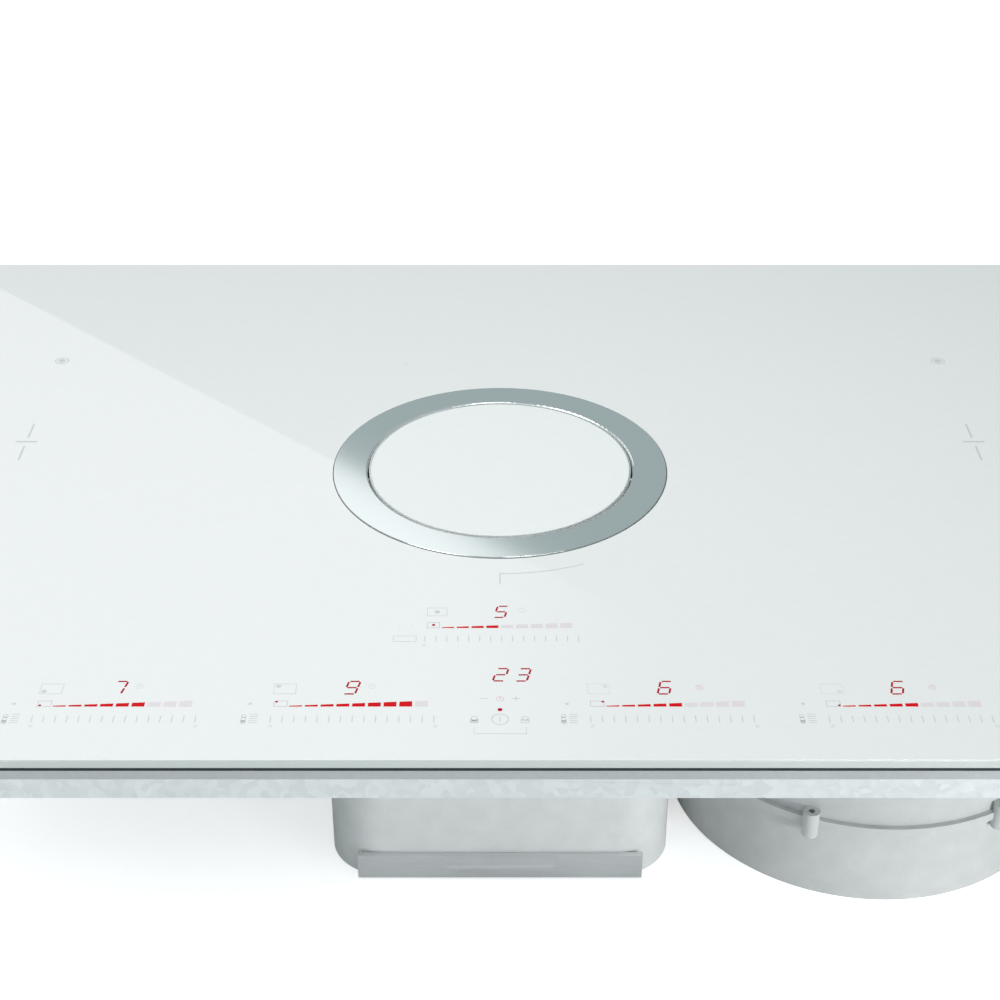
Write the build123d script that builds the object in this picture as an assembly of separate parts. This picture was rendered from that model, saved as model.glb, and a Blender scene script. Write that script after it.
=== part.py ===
from build123d import *
import os
from math import acos, cos, pi, radians, sin, sqrt, tan

# Downdraft induction cooktop. A glass hob with four coils has a round tilting flap in
# its middle. Below the flap hangs a lift-out grease filter, and a blower beside the
# filter sends the air out through a flat duct at the back.
#
# Millimetres. +X is the user's right, +Y is towards the wall, +Z is up. The origin is on
# the base that the unit stands on, under the centre of the glass.

# ---- Glass, gasket and worktop -------------------------------------------------------
glass_length = 830.0
glass_depth = 515.0
glass_thickness = 4.0
glass_corner_radius = 6.0
glass_arris = 0.6
gasket_thickness = 1.0
gasket_width = 8.0
gasket_inset = 2.0
worktop_cover = 11.5
cutout_play = 3.5

# ---- Sheet casing and bonding frame --------------------------------------------------
casing_sheet = 1.0
casing_depth = 60.0
casing_corner_radius = 8.0
front_depth = 30.0
front_reach = 80.0
frame_sheet = 1.2
frame_flange = 9.0
frame_lip = 18.0
sheet_fit = 0.2
vent_width = 4.0
vent_length = 62.0
vent_pitch = 9.0
vent_count = 9
back_vent_low = 17.0
back_vent_height = 16.0
back_vent_count = 12
screw_head_radius = 3.5
screw_head_height = 2.0
screw_radius = 1.8
screw_inset = 60.0
spring_width = 20.0
spring_height = 24.0
spring_bulge = 2.8
spring_sheet = 0.8
spring_inset = 110.0

# ---- Opening in the glass ------------------------------------------------------------
opening_y = -9.0
opening_radius = 81.0
collar_wall = 3.6
collar_flange_width = 8.4
collar_flange_thickness = 2.0
collar_drop = 20.0
bond_gap = 0.4
collar_seal_height = 1.9
collar_seal_margin = 0.2

# ---- Ring and flap -------------------------------------------------------------------
flap_radius = 71.15
flap_proud = 0.6
flap_glass_thickness = 4.0
flap_rim_wall = 0.8
flap_rim_height = 7.0
flap_ledge_width = 7.0
flap_ledge_thickness = 1.0
flap_swing_gap = 0.3
flap_plate_thickness = 2.0
flap_rib_height = 8.0
flap_rib_thickness = 2.0
flap_rib_radius = 60.0
flap_rib_count = 8
flap_hub_radius = 14.0
pivot_drop = 10.0
pin_radius = 2.5
pin_reach = 14.0
pin_boss_radius = 5.0
bush_wall = 1.5
running_fit = 0.05
ring_width = 18.3
ring_proud = 0.65
ring_inner_round = 0.8
ring_outer_round = 0.4
ring_rest = 0.1
ring_skirt_wall = 3.0
ring_skirt_below_pivot = 9.5
ring_boss_radius = 6.5
ring_boss_stand = 1.9
locating_rib_wall = 2.4
locating_rib_height = 3.8
locating_play = 0.3

# ---- Flap drive ----------------------------------------------------------------------
fork_radius = 4.2
fork_web = 0.6
fork_play = 0.3
tongue_width = 2.0
tongue_height = 5.6
drive_shaft_radius = 3.0
drive_bush_wall = 1.4
drive_boss_half_width = 6.5
gear_module = 1.0
gear_addendum = 0.8
gear_dedendum = 1.05
gear_backlash = 0.24
gear_width = 5.0
gear_step = 1.0
pressure_angle = 20.0
quadrant_teeth = 56
pinion_teeth = 14
quadrant_teeth_before = 8
quadrant_teeth_after = 1
quadrant_hub_radius = 5.0
quadrant_window_radius = 4.4
flank_steps = 4
pinion_shaft_radius = 2.5
motor_plate_gap = 3.0
motor_plate_sheet = 1.5
motor_plate_half_width = 20.0
motor_foot_length = 30.0
gearbox_length = 24.0
gearbox_half_width = 16.0
gearbox_half_height = 14.0
gearbox_round = 4.0
motor_can_radius = 11.0
motor_can_length = 22.0

# ---- Grease filter -------------------------------------------------------------------
filter_seat_depth = 30.0
filter_rim_radius = 77.0
filter_rim_thickness = 2.0
filter_radius = 72.0
filter_wall = 1.8
filter_band = 18.0
filter_height = 90.0
filter_floor_thickness = 3.0
filter_rib_width = 5.0
filter_rib_count = 12
filter_floor_ring = 12.0
filter_hub_radius = 12.0
filter_spoke_count = 6
filter_play = 0.8
filter_rest = 0.3
mesh_thickness = 0.8
mesh_gap = 0.1
handle_width = 10.0
handle_thickness = 2.5
handle_rise = 9.0

# ---- Inlet duct ----------------------------------------------------------------------
plastic_wall = 2.5
socket_play = 0.3
socket_grip = 8.0
duct_seal_height = 2.0
duct_seal_margin = 0.3
duct_entry = 6.0

# ---- Air box and spill tray ----------------------------------------------------------
foam_thickness = 1.0
foam_width = 14.0
chamber_length = 190.0
chamber_depth = 190.0
chamber_corner_radius = 30.0
channel_clear = 36.0
channel_width = 150.0
bay_height = 17.0
drain_length = 120.0
drain_depth = 110.0
drain_corner_radius = 12.0
air_box_flange = 14.0
air_box_flange_thickness = 3.0
gusset_reach = 11.0
gusset_height = 22.0
gusset_thickness = 2.0
gusset_pitch = 40.0
gusset_count = 4
flange_screw_radius = 2.2
flange_head_radius = 4.5
flange_head_height = 3.0
tray_width = 148.0
tray_length = 150.0
tray_wall = 2.0
tray_height = 12.0
tray_lift = 1.0
tray_corner_radius = 8.0
tray_flange = 4.0
tray_flange_thickness = 1.6
tray_play = 0.3
tray_front_width = 158.0
tray_front_thickness = 3.0
tray_pull_width = 60.0
tray_pull_depth = 8.0
runner_thickness = 2.0

# ---- Blower --------------------------------------------------------------------------
blower_x = 205.0
scroll_height = 102.0
cutoff_angle = 62.0
cutoff_radius = 88.0
scroll_growth = 38.0
spiral_steps = 8
joint_proud = 3.0
joint_height = 5.0
lug_radius = 4.5
lug_height = 16.0
lug_bore = 1.8
lug_count = 6
lug_first_angle = 95.0
lug_angle_step = 52.0
mouth_reach = 110.0
eye_radius = 64.0
cone_throat_radius = 57.0
cone_wall = 2.0
cone_flange_width = 6.0
cone_flange_thickness = 1.6
cone_drop = 15.0
cone_bulge = 1.6
impeller_radius = 82.0
impeller_inner_radius = 66.0
impeller_floor = 11.5
impeller_plate = 2.5
impeller_top_gap = 11.5
impeller_ring_height = 3.0
blade_count = 36
blade_thickness = 1.2
blade_sweep = 9.0
blade_bow = 2.0
hub_wall = 2.2
hub_gap = 0.3
rotor_radius = 37.0
rotor_wall = 2.0
rotor_low = 15.0
rotor_height = 42.0
air_gap = 0.7
stator_low = 19.0
stator_height = 26.0
stator_slots = 12
stator_slot_width = 5.0
stator_slot_depth = 12.0
shaft_radius = 4.0
bearing_wall = 5.0
bearing_height = 7.0
tube_wall = 3.0
tube_height = 42.0
motor_base_radius = 50.0
motor_base_thickness = 3.0
grommet_radius = 7.0
grommet_height = 3.0
grommet_circle = 42.0
grommet_count = 3
hanger_width = 12.0
hanger_play = 1.0
hanger_foot = 14.0
hanger_sheet = 1.5
hanger_edge = 30.0
hanger_forward = 60.0
hanger_mouth_edge = 38.0
hanger_mouth_back = 26.0

# ---- Outlet for the flat duct --------------------------------------------------------
flat_duct_length = 218.0
flat_duct_height = 85.0
spigot_x = 280.0
spigot_low = 4.0
spigot_grip = 52.0
diffuser_length = 84.0
duct_stop_proud = 3.0
duct_stop_width = 3.0
mouth_overlap = 8.0
mouth_play = 0.3

# ---- Coils, trays and insulation -----------------------------------------------------
coil_side_gap = 16.6
coil_collar_gap = 53.0
coil_back_gap = 24.6
coil_control_gap = 10.0
coil_side_margin = 8.0
coil_end_margin = 6.5
coil_row_gap = 11.0
coil_corner_radius = 60.0
coil_eye_radius = 22.0
coil_height = 4.5
coil_turns = 9
coil_roundness = 0.95
turn_groove_width = 0.8
turn_groove_depth = 1.0
mica_thickness = 0.6
mica_gap = 0.3
mica_margin = 3.0
carrier_thickness = 2.5
ferrite_width = 14.0
ferrite_thickness = 5.0
ferrite_eye_gap = 5.0
ferrite_edge_gap = 4.0
sensor_radius = 6.0
sensor_body_radius = 4.0
tray_sheet = 1.5
coil_tray_corner = 10.0
post_radius = 4.0
post_inset = 12.0

# ---- Power electronics ---------------------------------------------------------------
board_thickness = 1.6
board_side_gap = 23.0
board_back_gap = 41.5
board_depth = 160.0
board_lift = 6.0
board_foot_radius = 3.5
board_foot_inset = 8.0
sink_edge_gap = 13.0
sink_middle_gap = 18.0
sink_depth = 130.0
sink_base = 4.0
sink_height = 24.0
sink_fins = 9
sink_fin_thickness = 1.6
capacitor_radius = 11.0
capacitor_height = 22.0
choke_x = 16.0
choke_length = 17.6
choke_depth = 33.0
choke_height = 17.6
fan_size = 80.0
fan_height = 25.0
fan_forward = 10.0
fan_corner_radius = 5.0
fan_bore_radius = 37.5
fan_tip_gap = 1.5
fan_hub_radius = 16.0
fan_hub_height = 18.0
fan_blade_count = 7
fan_blade_thickness = 1.4
fan_blade_pitch = 38.0
fan_blade_chord = 24.0
fan_pin_radius = 2.0
fan_pin_height = 13.5
fan_spider_radius = 14.0
fan_spider_thickness = 2.5
fan_strut_width = 5.0
fan_strut_count = 3

# ---- Touch controls ------------------------------------------------------------------
control_length = 462.0
control_inset = 26.0
control_depth = 42.0
hood_control_length = 124.0
hood_control_depth = 60.0
display_height = 5.0
display_gap = 0.3
display_length = 84.0
display_depth = 30.0
slider_pitch_inner = 68.0
slider_pitch_outer = 172.0
timer_length = 44.0
control_board_thickness = 1.6
control_carrier_thickness = 2.0
control_rib_width = 3.0
control_rib_count = 8

# ---- Mains connection and control box ------------------------------------------------
terminal_side_gap = 65.6
terminal_back_gap = 25.1
terminal_length = 96.0
terminal_depth = 72.0
terminal_height = 36.0
terminal_round = 6.0
terminal_wall = 2.0
terminal_ways = 5
terminal_way_pitch = 11.0
terminal_block_depth = 24.0
terminal_block_height = 17.0
terminal_screw_radius = 2.6
gland_radius = 12.0
gland_bore_radius = 7.5
gland_nut_radius = 11.0
gland_nut_length = 12.0
gland_flange = 2.5
control_box_gap = 9.0
control_box_y = 60.0
control_box_length = 84.0
control_box_depth = 130.0
control_box_height = 30.0
control_box_round = 6.0
control_box_seam = 0.8
control_box_lid = 8.0
control_screw_inset = 10.0
control_screw_depth = 2.0
socket_count = 3
socket_pitch = 30.0
socket_width = 16.0
socket_height = 8.0
socket_depth = 4.0

# ---- Heights and radii that follow ---------------------------------------------------
scroll_top = scroll_height
channel_floor = scroll_top + plastic_wall
channel_roof = channel_floor + channel_clear
air_box_top = channel_roof + plastic_wall
casing_bottom = air_box_top + foam_thickness
casing_floor = casing_bottom + casing_sheet
worktop_z = casing_bottom + casing_depth
glass_bottom = worktop_z + gasket_thickness
glass_top_z = glass_bottom + glass_thickness
frame_bottom = glass_bottom - frame_sheet
cutout_length = glass_length - 2 * worktop_cover
cutout_depth = glass_depth - 2 * worktop_cover
frame_length = cutout_length - 2 * cutout_play
frame_depth = cutout_depth - 2 * cutout_play
casing_length = frame_length - 2 * (frame_sheet + sheet_fit)
casing_width = frame_depth - 2 * (frame_sheet + sheet_fit)
front_step_y = front_reach - casing_width / 2
front_bottom = worktop_z - front_depth
screw_length = frame_sheet + sheet_fit + 2 * casing_sheet

flap_top = glass_top_z + flap_proud
pivot_z = flap_top - pivot_drop
flap_glass_bottom = flap_top - flap_glass_thickness
flap_plate_top = flap_glass_bottom - flap_ledge_thickness
flap_plate_bottom = flap_plate_top - flap_plate_thickness
ring_bore = sqrt(flap_radius**2 + pivot_drop**2) + flap_swing_gap
ring_radius = ring_bore + ring_width
ring_skirt_radius = ring_bore + ring_skirt_wall
ring_boss_end = ring_skirt_radius + ring_boss_stand
bush_bore = pin_radius + running_fit
bush_radius = bush_bore + bush_wall

collar_radius = opening_radius + collar_wall
collar_bottom = worktop_z - collar_drop
collar_flange_radius = collar_radius + collar_flange_width
collar_top = glass_top_z - collar_seal_height
glass_hole_radius = collar_radius + bond_gap

fork_start = ring_boss_end + fork_play
fork_end = opening_radius - fork_play
tongue_tip = fork_start + fork_web + fork_play
drive_bush_bore = drive_shaft_radius + running_fit
drive_bush_radius = drive_bush_bore + drive_bush_wall
gear_start = collar_flange_radius + gear_step
gear_end = gear_start + gear_width
quadrant_radius = gear_module * quadrant_teeth / 2
pinion_radius = gear_module * pinion_teeth / 2
pinion_z = pivot_z - quadrant_radius - pinion_radius
motor_plate_x = gear_end + motor_plate_gap

duct_shoulder = collar_bottom - duct_seal_height
socket_bore = collar_radius + socket_play
duct_radius = opening_radius + plastic_wall
duct_bottom = air_box_top - duct_entry
ledge_top = worktop_z - filter_seat_depth
ledge_radius = filter_radius + filter_play
filter_rim_low = ledge_top + filter_rest
filter_rim_top = filter_rim_low + filter_rim_thickness
filter_bottom = filter_rim_top - filter_height
filter_inside = filter_radius - filter_wall
mesh_radius = filter_inside - mesh_gap
mesh_bottom = filter_bottom + filter_floor_thickness
mesh_top = filter_rim_top - filter_band

coil_top = glass_bottom - mica_gap - mica_thickness
coil_bottom = coil_top - coil_height
carrier_bottom = coil_bottom - carrier_thickness
ferrite_bottom = carrier_bottom - ferrite_thickness
coil_tray_bottom = ferrite_bottom - tray_sheet

control_front = glass_depth / 2 - control_inset
control_back = control_front - control_depth
hood_control_back = control_back - hood_control_depth

coil_tray_inner = collar_flange_radius + coil_collar_gap
coil_tray_outer = casing_length / 2 - coil_side_gap
coil_tray_length = coil_tray_outer - coil_tray_inner
coil_x = (coil_tray_outer + coil_tray_inner) / 2
coil_tray_back = casing_width / 2 - coil_back_gap
coil_tray_front = coil_control_gap - control_back
coil_tray_depth = coil_tray_back - coil_tray_front
coil_tray_y = (coil_tray_back + coil_tray_front) / 2
coil_length = coil_tray_length - 2 * coil_side_margin
coil_depth = (coil_tray_depth - 2 * coil_end_margin - coil_row_gap) / 2
rear_coil_y = coil_tray_back - coil_end_margin - coil_depth / 2
front_coil_y = coil_tray_front + coil_end_margin + coil_depth / 2
ferrite_start = coil_eye_radius + ferrite_eye_gap
ferrite_length = min(coil_length, coil_depth) / 2 - ferrite_edge_gap - ferrite_start
ferrite_offset = ferrite_start + ferrite_length / 2

board_length = coil_tray_length - 2 * board_side_gap
board_y = coil_tray_back - board_back_gap - board_depth / 2
sink_length = board_length / 2 - sink_edge_gap - sink_middle_gap
sink_offset = sink_middle_gap + sink_length / 2
fan_y = front_coil_y - fan_forward

impeller_top = scroll_height - impeller_top_gap
motor_base_low = plastic_wall + grommet_height
motor_base_top = motor_base_low + motor_base_thickness
bearing_bore = shaft_radius + running_fit
bearing_radius = bearing_bore + bearing_wall
tube_radius = bearing_radius + tube_wall
stator_radius = rotor_radius - rotor_wall - air_gap
rotor_top = rotor_low + rotor_height
hub_radius = rotor_radius + hub_gap + hub_wall
hub_top = rotor_top + hub_gap + hub_wall

mouth_y = opening_y + mouth_reach
mouth_left = blower_x + cutoff_radius * cos(radians(cutoff_angle))
mouth_right = blower_x + cutoff_radius + scroll_growth
mouth_x = (mouth_left + mouth_right) / 2
mouth_length = mouth_right - mouth_left
diffuser_end = mouth_y + diffuser_length
spigot_end = diffuser_end + spigot_grip

display_top = glass_bottom - display_gap
control_board_top = display_top - display_height
control_board_bottom = control_board_top - control_board_thickness
control_carrier_bottom = control_board_bottom - control_carrier_thickness

board_bottom = casing_floor + board_lift
board_top = board_bottom + board_thickness
terminal_x = terminal_side_gap + terminal_length / 2 - casing_length / 2
terminal_y = casing_width / 2 - terminal_back_gap - terminal_depth / 2
control_box_right = -(chamber_length / 2 + air_box_flange + control_box_gap)
control_box_x = control_box_right - control_box_length / 2
gland_z = casing_bottom - terminal_height / 2
casing_screw_z = worktop_z - frame_lip / 2


# ---- Basic forms ---------------------------------------------------------------------
def slab(length, depth, low, high, x=0.0, y=0.0, corner=0.0):
    """A level plate or block, its upright corners rounded where a radius is given."""
    outline = RectangleRounded(length, depth, corner) if corner else Rectangle(length, depth)
    return Pos(x, y, low) * extrude(outline, high - low)


def disc(radius, low, high, x=0.0, y=0.0):
    """An upright cylinder."""
    return Pos(x, y, low) * extrude(Circle(radius), high - low)


def hoop(radius, bore, low, high, x=0.0, y=0.0):
    """An upright cylinder with a hole through it."""
    return Pos(x, y, low) * extrude(Circle(radius) - Circle(bore), high - low)


def rod_x(radius, start, end, y, z):
    """A cylinder lying along X."""
    return Pos(start, y, z) * Rot(0, 90, 0) * extrude(Circle(radius), end - start)


def rod_y(radius, start, end, x, z):
    """A cylinder lying along Y."""
    return Pos(x, start, z) * Rot(-90, 0, 0) * extrude(Circle(radius), end - start)


def turned(outline, x=0.0, y=0.0):
    """A closed half section, given in radius and height, turned about an upright axis."""
    return Pos(x, y, 0) * revolve(make_face(Plane.XZ * outline), Axis.Z)


def round_copies(piece, count, x=0.0, y=0.0):
    """Copies of a piece, evenly spaced about an upright axis."""
    to_axis = Pos(x, y, 0)
    return [to_axis * Rot(0, 0, 360 * turn / count) * piece for turn in range(count)]


def save(node, *pieces):
    """Write one sub-part, as one solid or as a group of like solids."""
    solids = [solid for piece in pieces for solid in piece.solids()]
    shape = solids[0] if len(solids) == 1 else Compound(solids)
    export_step(shape, f"parts/{node}.step")


# ---- Glass, gasket, bonding frame ----------------------------------------------------
def glass_top():
    """Ceramic glass with a round hole and a ground arris on its upper edges."""
    plate = slab(glass_length, glass_depth, glass_bottom, glass_top_z, corner=glass_corner_radius)
    plate -= disc(glass_hole_radius, glass_bottom, glass_top_z, y=opening_y)
    upper_edges = plate.faces().sort_by(Axis.Z)[-1].outer_wire().edges()
    return chamfer(upper_edges, glass_arris)


def worktop_gasket():
    """Foam strip under the edge of the glass, which seals it to the worktop."""
    outer_length = glass_length - 2 * gasket_inset
    outer_depth = glass_depth - 2 * gasket_inset
    outer = slab(outer_length, outer_depth, worktop_z, glass_bottom, corner=glass_corner_radius)
    inner = slab(
        outer_length - 2 * gasket_width, outer_depth - 2 * gasket_width, worktop_z, glass_bottom
    )
    return outer - inner


def glass_frame():
    """Angle frame glued under the glass, whose lip holds the casing."""
    corner = casing_corner_radius
    outer = slab(frame_length, frame_depth, worktop_z - frame_lip, glass_bottom, corner=corner)
    within_lip = slab(
        frame_length - 2 * frame_sheet,
        frame_depth - 2 * frame_sheet,
        worktop_z - frame_lip,
        frame_bottom,
        corner=corner - frame_sheet,
    )
    within_flange = slab(
        frame_length - 2 * frame_flange,
        frame_depth - 2 * frame_flange,
        worktop_z - frame_lip,
        glass_bottom,
    )
    frame = outer - within_lip - within_flange
    screw_hole = rod_x(screw_radius, -screw_length, screw_length, 0, 0)
    for x, y, turn in casing_screw_places():
        frame -= Pos(x, y, casing_screw_z) * Rot(0, 0, turn) * screw_hole
    return frame


# ---- Casing --------------------------------------------------------------------------
def casing_screw_places():
    """Where screws hold the lip to the casing: x, y and the turn of the screw."""
    half_length = frame_length / 2
    half_depth = frame_depth / 2
    places = []
    for side in (-1, 1):
        for end in (-1, 1):
            places.append((side * half_length, end * (half_depth - screw_inset), 90 + 90 * side))
            places.append((side * (half_length - screw_inset), end * half_depth, -90 * end))
    return places


def air_box_screw_places():
    """Corners of the air box flange, where screws hold it to the casing."""
    inset = chamber_corner_radius / 2
    half_length = chamber_length / 2 + air_box_flange - inset
    half_depth = chamber_depth / 2 + air_box_flange - inset
    return [(x * half_length, opening_y + y * half_depth) for x in (-1, 1) for y in (-1, 1)]


def casing_space(inset):
    """The stepped form of the pan, or of the room inside it when inset by its sheet."""
    top = frame_bottom - sheet_fit
    corner = casing_corner_radius - frame_sheet - inset
    space = slab(
        casing_length - 2 * inset, casing_width - 2 * inset, casing_bottom + inset, top, corner=corner
    )
    step_back = front_step_y + inset
    step_depth = step_back + casing_width / 2
    step = slab(
        casing_length,
        step_depth,
        casing_bottom,
        front_bottom + inset,
        y=step_back - step_depth / 2,
    )
    return space - step


def lower_casing():
    """Folded sheet pan with a shallow front, a duct hole and punched vents."""
    pan = casing_space(0) - casing_space(casing_sheet)
    pan -= disc(duct_radius + socket_play, casing_bottom, casing_floor, y=opening_y)
    for side in (-1, 1):
        for slot in range(vent_count):
            offset = (slot - (vent_count - 1) / 2) * vent_pitch
            pan -= slab(
                vent_width,
                vent_length,
                casing_bottom,
                casing_floor,
                x=side * coil_x + offset,
                y=fan_y,
            )
        for slot in range(back_vent_count):
            offset = (slot - (back_vent_count - 1) / 2) * vent_pitch
            pan -= slab(
                vent_width,
                4 * casing_sheet,
                casing_bottom + back_vent_low,
                casing_bottom + back_vent_low + back_vent_height,
                x=side * coil_x + offset,
                y=casing_width / 2,
            )
    for x, y in air_box_screw_places():
        pan -= disc(flange_screw_radius + running_fit, casing_bottom, casing_floor, x, y)
    pan -= slab(
        terminal_length / 2,
        terminal_depth / 3,
        casing_bottom,
        casing_floor,
        x=terminal_x,
        y=terminal_y - terminal_depth / 6,
    )
    screw_hole = rod_x(screw_radius, -screw_length, screw_length, 0, 0)
    for x, y, turn in casing_screw_places():
        pan -= Pos(x, y, casing_screw_z) * Rot(0, 0, turn) * screw_hole
    return pan


def casing_screws():
    """Pan-head screws through the frame lip into the casing."""
    shank = rod_x(screw_radius, 0, screw_length, 0, 0)
    head = rod_x(screw_head_radius, -screw_head_height, 0, 0, 0)
    screw = head + shank
    return [Pos(x, y, casing_screw_z) * Rot(0, 0, turn) * screw for x, y, turn in casing_screw_places()]


def clamp_springs():
    """Bowed leaf springs on the short sides, which wedge the hob in its cut-out."""
    springs = []
    top = worktop_z - frame_sheet
    for side in (-1, 1):
        wall = side * frame_length / 2
        face = Plane.XZ * make_face(
            ThreePointArc(
                (wall, top),
                (wall + side * spring_bulge, top - spring_height / 2),
                (wall, top - spring_height),
            )
            + Line((wall, top - spring_height), (wall, top - spring_height + spring_sheet))
            + ThreePointArc(
                (wall, top - spring_height + spring_sheet),
                (wall + side * (spring_bulge - spring_sheet), top - spring_height / 2),
                (wall, top - spring_sheet),
            )
            + Line((wall, top - spring_sheet), (wall, top))
        )
        leaf = extrude(face, spring_width / 2, both=True)
        for end in (-1, 1):
            springs.append(Pos(0, end * (frame_depth / 2 - spring_inset), 0) * leaf)
    return springs


# ---- Collar, ring and flap -----------------------------------------------------------
def inlet_collar():
    """Moulded collar bonded into the glass, with a boss for the drive shaft."""
    flange_bottom = glass_bottom - collar_flange_thickness
    collar = turned(
        Polyline(
            (opening_radius, collar_bottom),
            (collar_radius, collar_bottom),
            (collar_radius, flange_bottom),
            (collar_flange_radius, flange_bottom),
            (collar_flange_radius, glass_bottom),
            (collar_radius, glass_bottom),
            (collar_radius, collar_top),
            (opening_radius, collar_top),
            (opening_radius, collar_bottom),
        ),
        y=opening_y,
    )
    boss_start = opening_radius + collar_wall / 2
    boss = slab(
        collar_flange_radius - boss_start,
        2 * drive_boss_half_width,
        pivot_z - drive_boss_half_width,
        glass_bottom,
        x=-(collar_flange_radius + boss_start) / 2,
        y=opening_y,
    )
    bore = rod_x(drive_bush_radius, -collar_flange_radius, -opening_radius / 2, opening_y, pivot_z)
    return collar + boss - bore


def collar_seal():
    """Soft lip on top of the collar, just under the ring."""
    return hoop(
        collar_radius - collar_seal_margin,
        opening_radius + collar_seal_margin,
        collar_top,
        glass_top_z,
        y=opening_y,
    )


def bezel_ring():
    """Bright metal ring with a flat top, a skirt, and ears that hold the bushes."""
    top = glass_top_z + ring_proud
    under = glass_top_z + ring_rest
    skirt_bottom = pivot_z - ring_skirt_below_pivot
    rib_outside = opening_radius - locating_play
    rib_inside = rib_outside - locating_rib_wall
    inner_centre = (ring_bore + ring_inner_round, top - ring_inner_round)
    outer_centre = (ring_radius - ring_outer_round, top - ring_outer_round)
    section = (
        Line((ring_bore, skirt_bottom), (ring_bore, inner_centre[1]))
        + CenterArc(inner_centre, ring_inner_round, 180, -90)
        + Line((inner_centre[0], top), (outer_centre[0], top))
        + CenterArc(outer_centre, ring_outer_round, 90, -90)
        + Polyline(
            (ring_radius, outer_centre[1]),
            (ring_radius, under),
            (rib_outside, under),
            (rib_outside, under - locating_rib_height),
            (rib_inside, under - locating_rib_height),
            (rib_inside, under),
            (ring_skirt_radius, under),
            (ring_skirt_radius, skirt_bottom),
            (ring_bore, skirt_bottom),
        )
    )
    ring = turned(section, y=opening_y)
    ear_start = ring_bore + ring_skirt_wall / 2
    for side in (-1, 1):
        low = min(side * ear_start, side * ring_boss_end)
        ring += rod_x(ring_boss_radius, low, low + ring_boss_end - ear_start, opening_y, pivot_z)
    return ring - rod_x(bush_radius, -ring_boss_end, ring_boss_end, opening_y, pivot_z)


def pivot_bushes():
    """Plastic bushes in the ring's ears, which the flap's pins turn in."""
    bush = rod_x(bush_radius, ring_bore, ring_boss_end, 0, 0)
    bush -= rod_x(bush_bore, ring_bore, ring_boss_end, 0, 0)
    return [Pos(0, opening_y, pivot_z) * Rot(0, 0, turn) * bush for turn in (0, 180)]


def flap_glass():
    """White glass disc of the flap."""
    plate = disc(flap_radius - flap_rim_wall, flap_glass_bottom, flap_top, y=opening_y)
    return chamfer(plate.edges().group_by(Axis.Z)[-1], glass_arris / 2)


def flap_rim():
    """Thin metal rim round the glass disc, with a ledge that carries it."""
    inside = flap_radius - flap_rim_wall
    ledge_inside = inside - flap_ledge_width
    return turned(
        Polyline(
            (flap_radius, flap_top - flap_rim_height),
            (flap_radius, flap_top),
            (inside, flap_top),
            (inside, flap_glass_bottom),
            (ledge_inside, flap_glass_bottom),
            (ledge_inside, flap_plate_top),
            (inside, flap_plate_top),
            (inside, flap_top - flap_rim_height),
            (flap_radius, flap_top - flap_rim_height),
        ),
        y=opening_y,
    )


def flap_carrier():
    """Ribbed moulding under the flap, which holds the pivot pins."""
    carrier = disc(flap_radius - flap_rim_wall, flap_plate_bottom, flap_plate_top, y=opening_y)
    rib_bottom = flap_plate_bottom - flap_rib_height
    carrier += hoop(
        flap_rib_radius + flap_rib_thickness, flap_rib_radius, rib_bottom, flap_plate_bottom, y=opening_y
    )
    carrier += disc(flap_hub_radius, rib_bottom, flap_plate_bottom, y=opening_y)
    rib = slab(
        flap_rib_radius, flap_rib_thickness, rib_bottom, flap_plate_bottom, x=flap_rib_radius / 2
    )
    carrier += round_copies(rib, flap_rib_count, y=opening_y)
    boss_end = sqrt((flap_radius - flap_rim_wall) ** 2 - pin_boss_radius**2)
    boss_start = ring_boss_end - fork_play - pin_reach - pin_boss_radius
    boss = rod_x(pin_boss_radius, boss_start, boss_end, 0, 0)
    for turn in (0, 180):
        carrier += Pos(0, opening_y, pivot_z) * Rot(0, 0, turn) * boss
    carrier -= rod_x(pin_radius, -boss_end, -boss_start, opening_y, pivot_z)
    carrier -= rod_x(pin_radius, boss_start, boss_end, opening_y, pivot_z)
    glass_room = disc(flap_radius, flap_plate_top, flap_top, y=opening_y)
    return carrier - glass_room


def flap_pivot_pins():
    """Two steel pins. The left one ends in a fork that drops over the drive tongue."""
    start = ring_boss_end - fork_play - pin_reach
    plain_pin = rod_x(pin_radius, start, ring_boss_end, 0, 0)
    driven_pin = rod_x(pin_radius, -fork_start, -start, 0, 0)
    driven_pin += rod_x(fork_radius, -fork_end, -fork_start, 0, 0)
    slot_top = tongue_height / 2 + fork_play
    slot_length = fork_end - fork_start - fork_web
    driven_pin -= slab(
        slot_length,
        tongue_width + 2 * fork_play,
        -fork_radius,
        slot_top,
        x=-fork_end + slot_length / 2,
    )
    to_pivot = Pos(0, opening_y, pivot_z)
    return [to_pivot * plain_pin, to_pivot * driven_pin]


# ---- Flap drive ----------------------------------------------------------------------
def involute(angle):
    """Involute function of a pressure angle in radians."""
    return tan(angle) - angle


def gear_tooth(teeth):
    """One involute tooth of a wheel, pointing along X, sunk a little into the wheel."""
    pitch_radius = gear_module * teeth / 2
    base_radius = pitch_radius * cos(radians(pressure_angle))
    root_radius = pitch_radius - gear_dedendum
    tip_radius = pitch_radius + gear_addendum
    half_tooth = (pi * gear_module / 2 - gear_backlash) / 2 / pitch_radius
    flank_start = max(root_radius, base_radius)
    rise = (tip_radius - flank_start) / flank_steps
    radii = [root_radius - gear_backlash]
    radii += [flank_start + step * rise for step in range(flank_steps + 1)]
    flank = []
    for radius in radii:
        lean = acos(min(1.0, base_radius / radius))
        half_angle = half_tooth + involute(radians(pressure_angle)) - involute(lean)
        flank.append((radius * cos(half_angle), radius * sin(half_angle)))
    other_flank = [(x, -y) for x, y in reversed(flank)]
    return make_face(Polyline(*flank, *other_flank, close=True))


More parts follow.
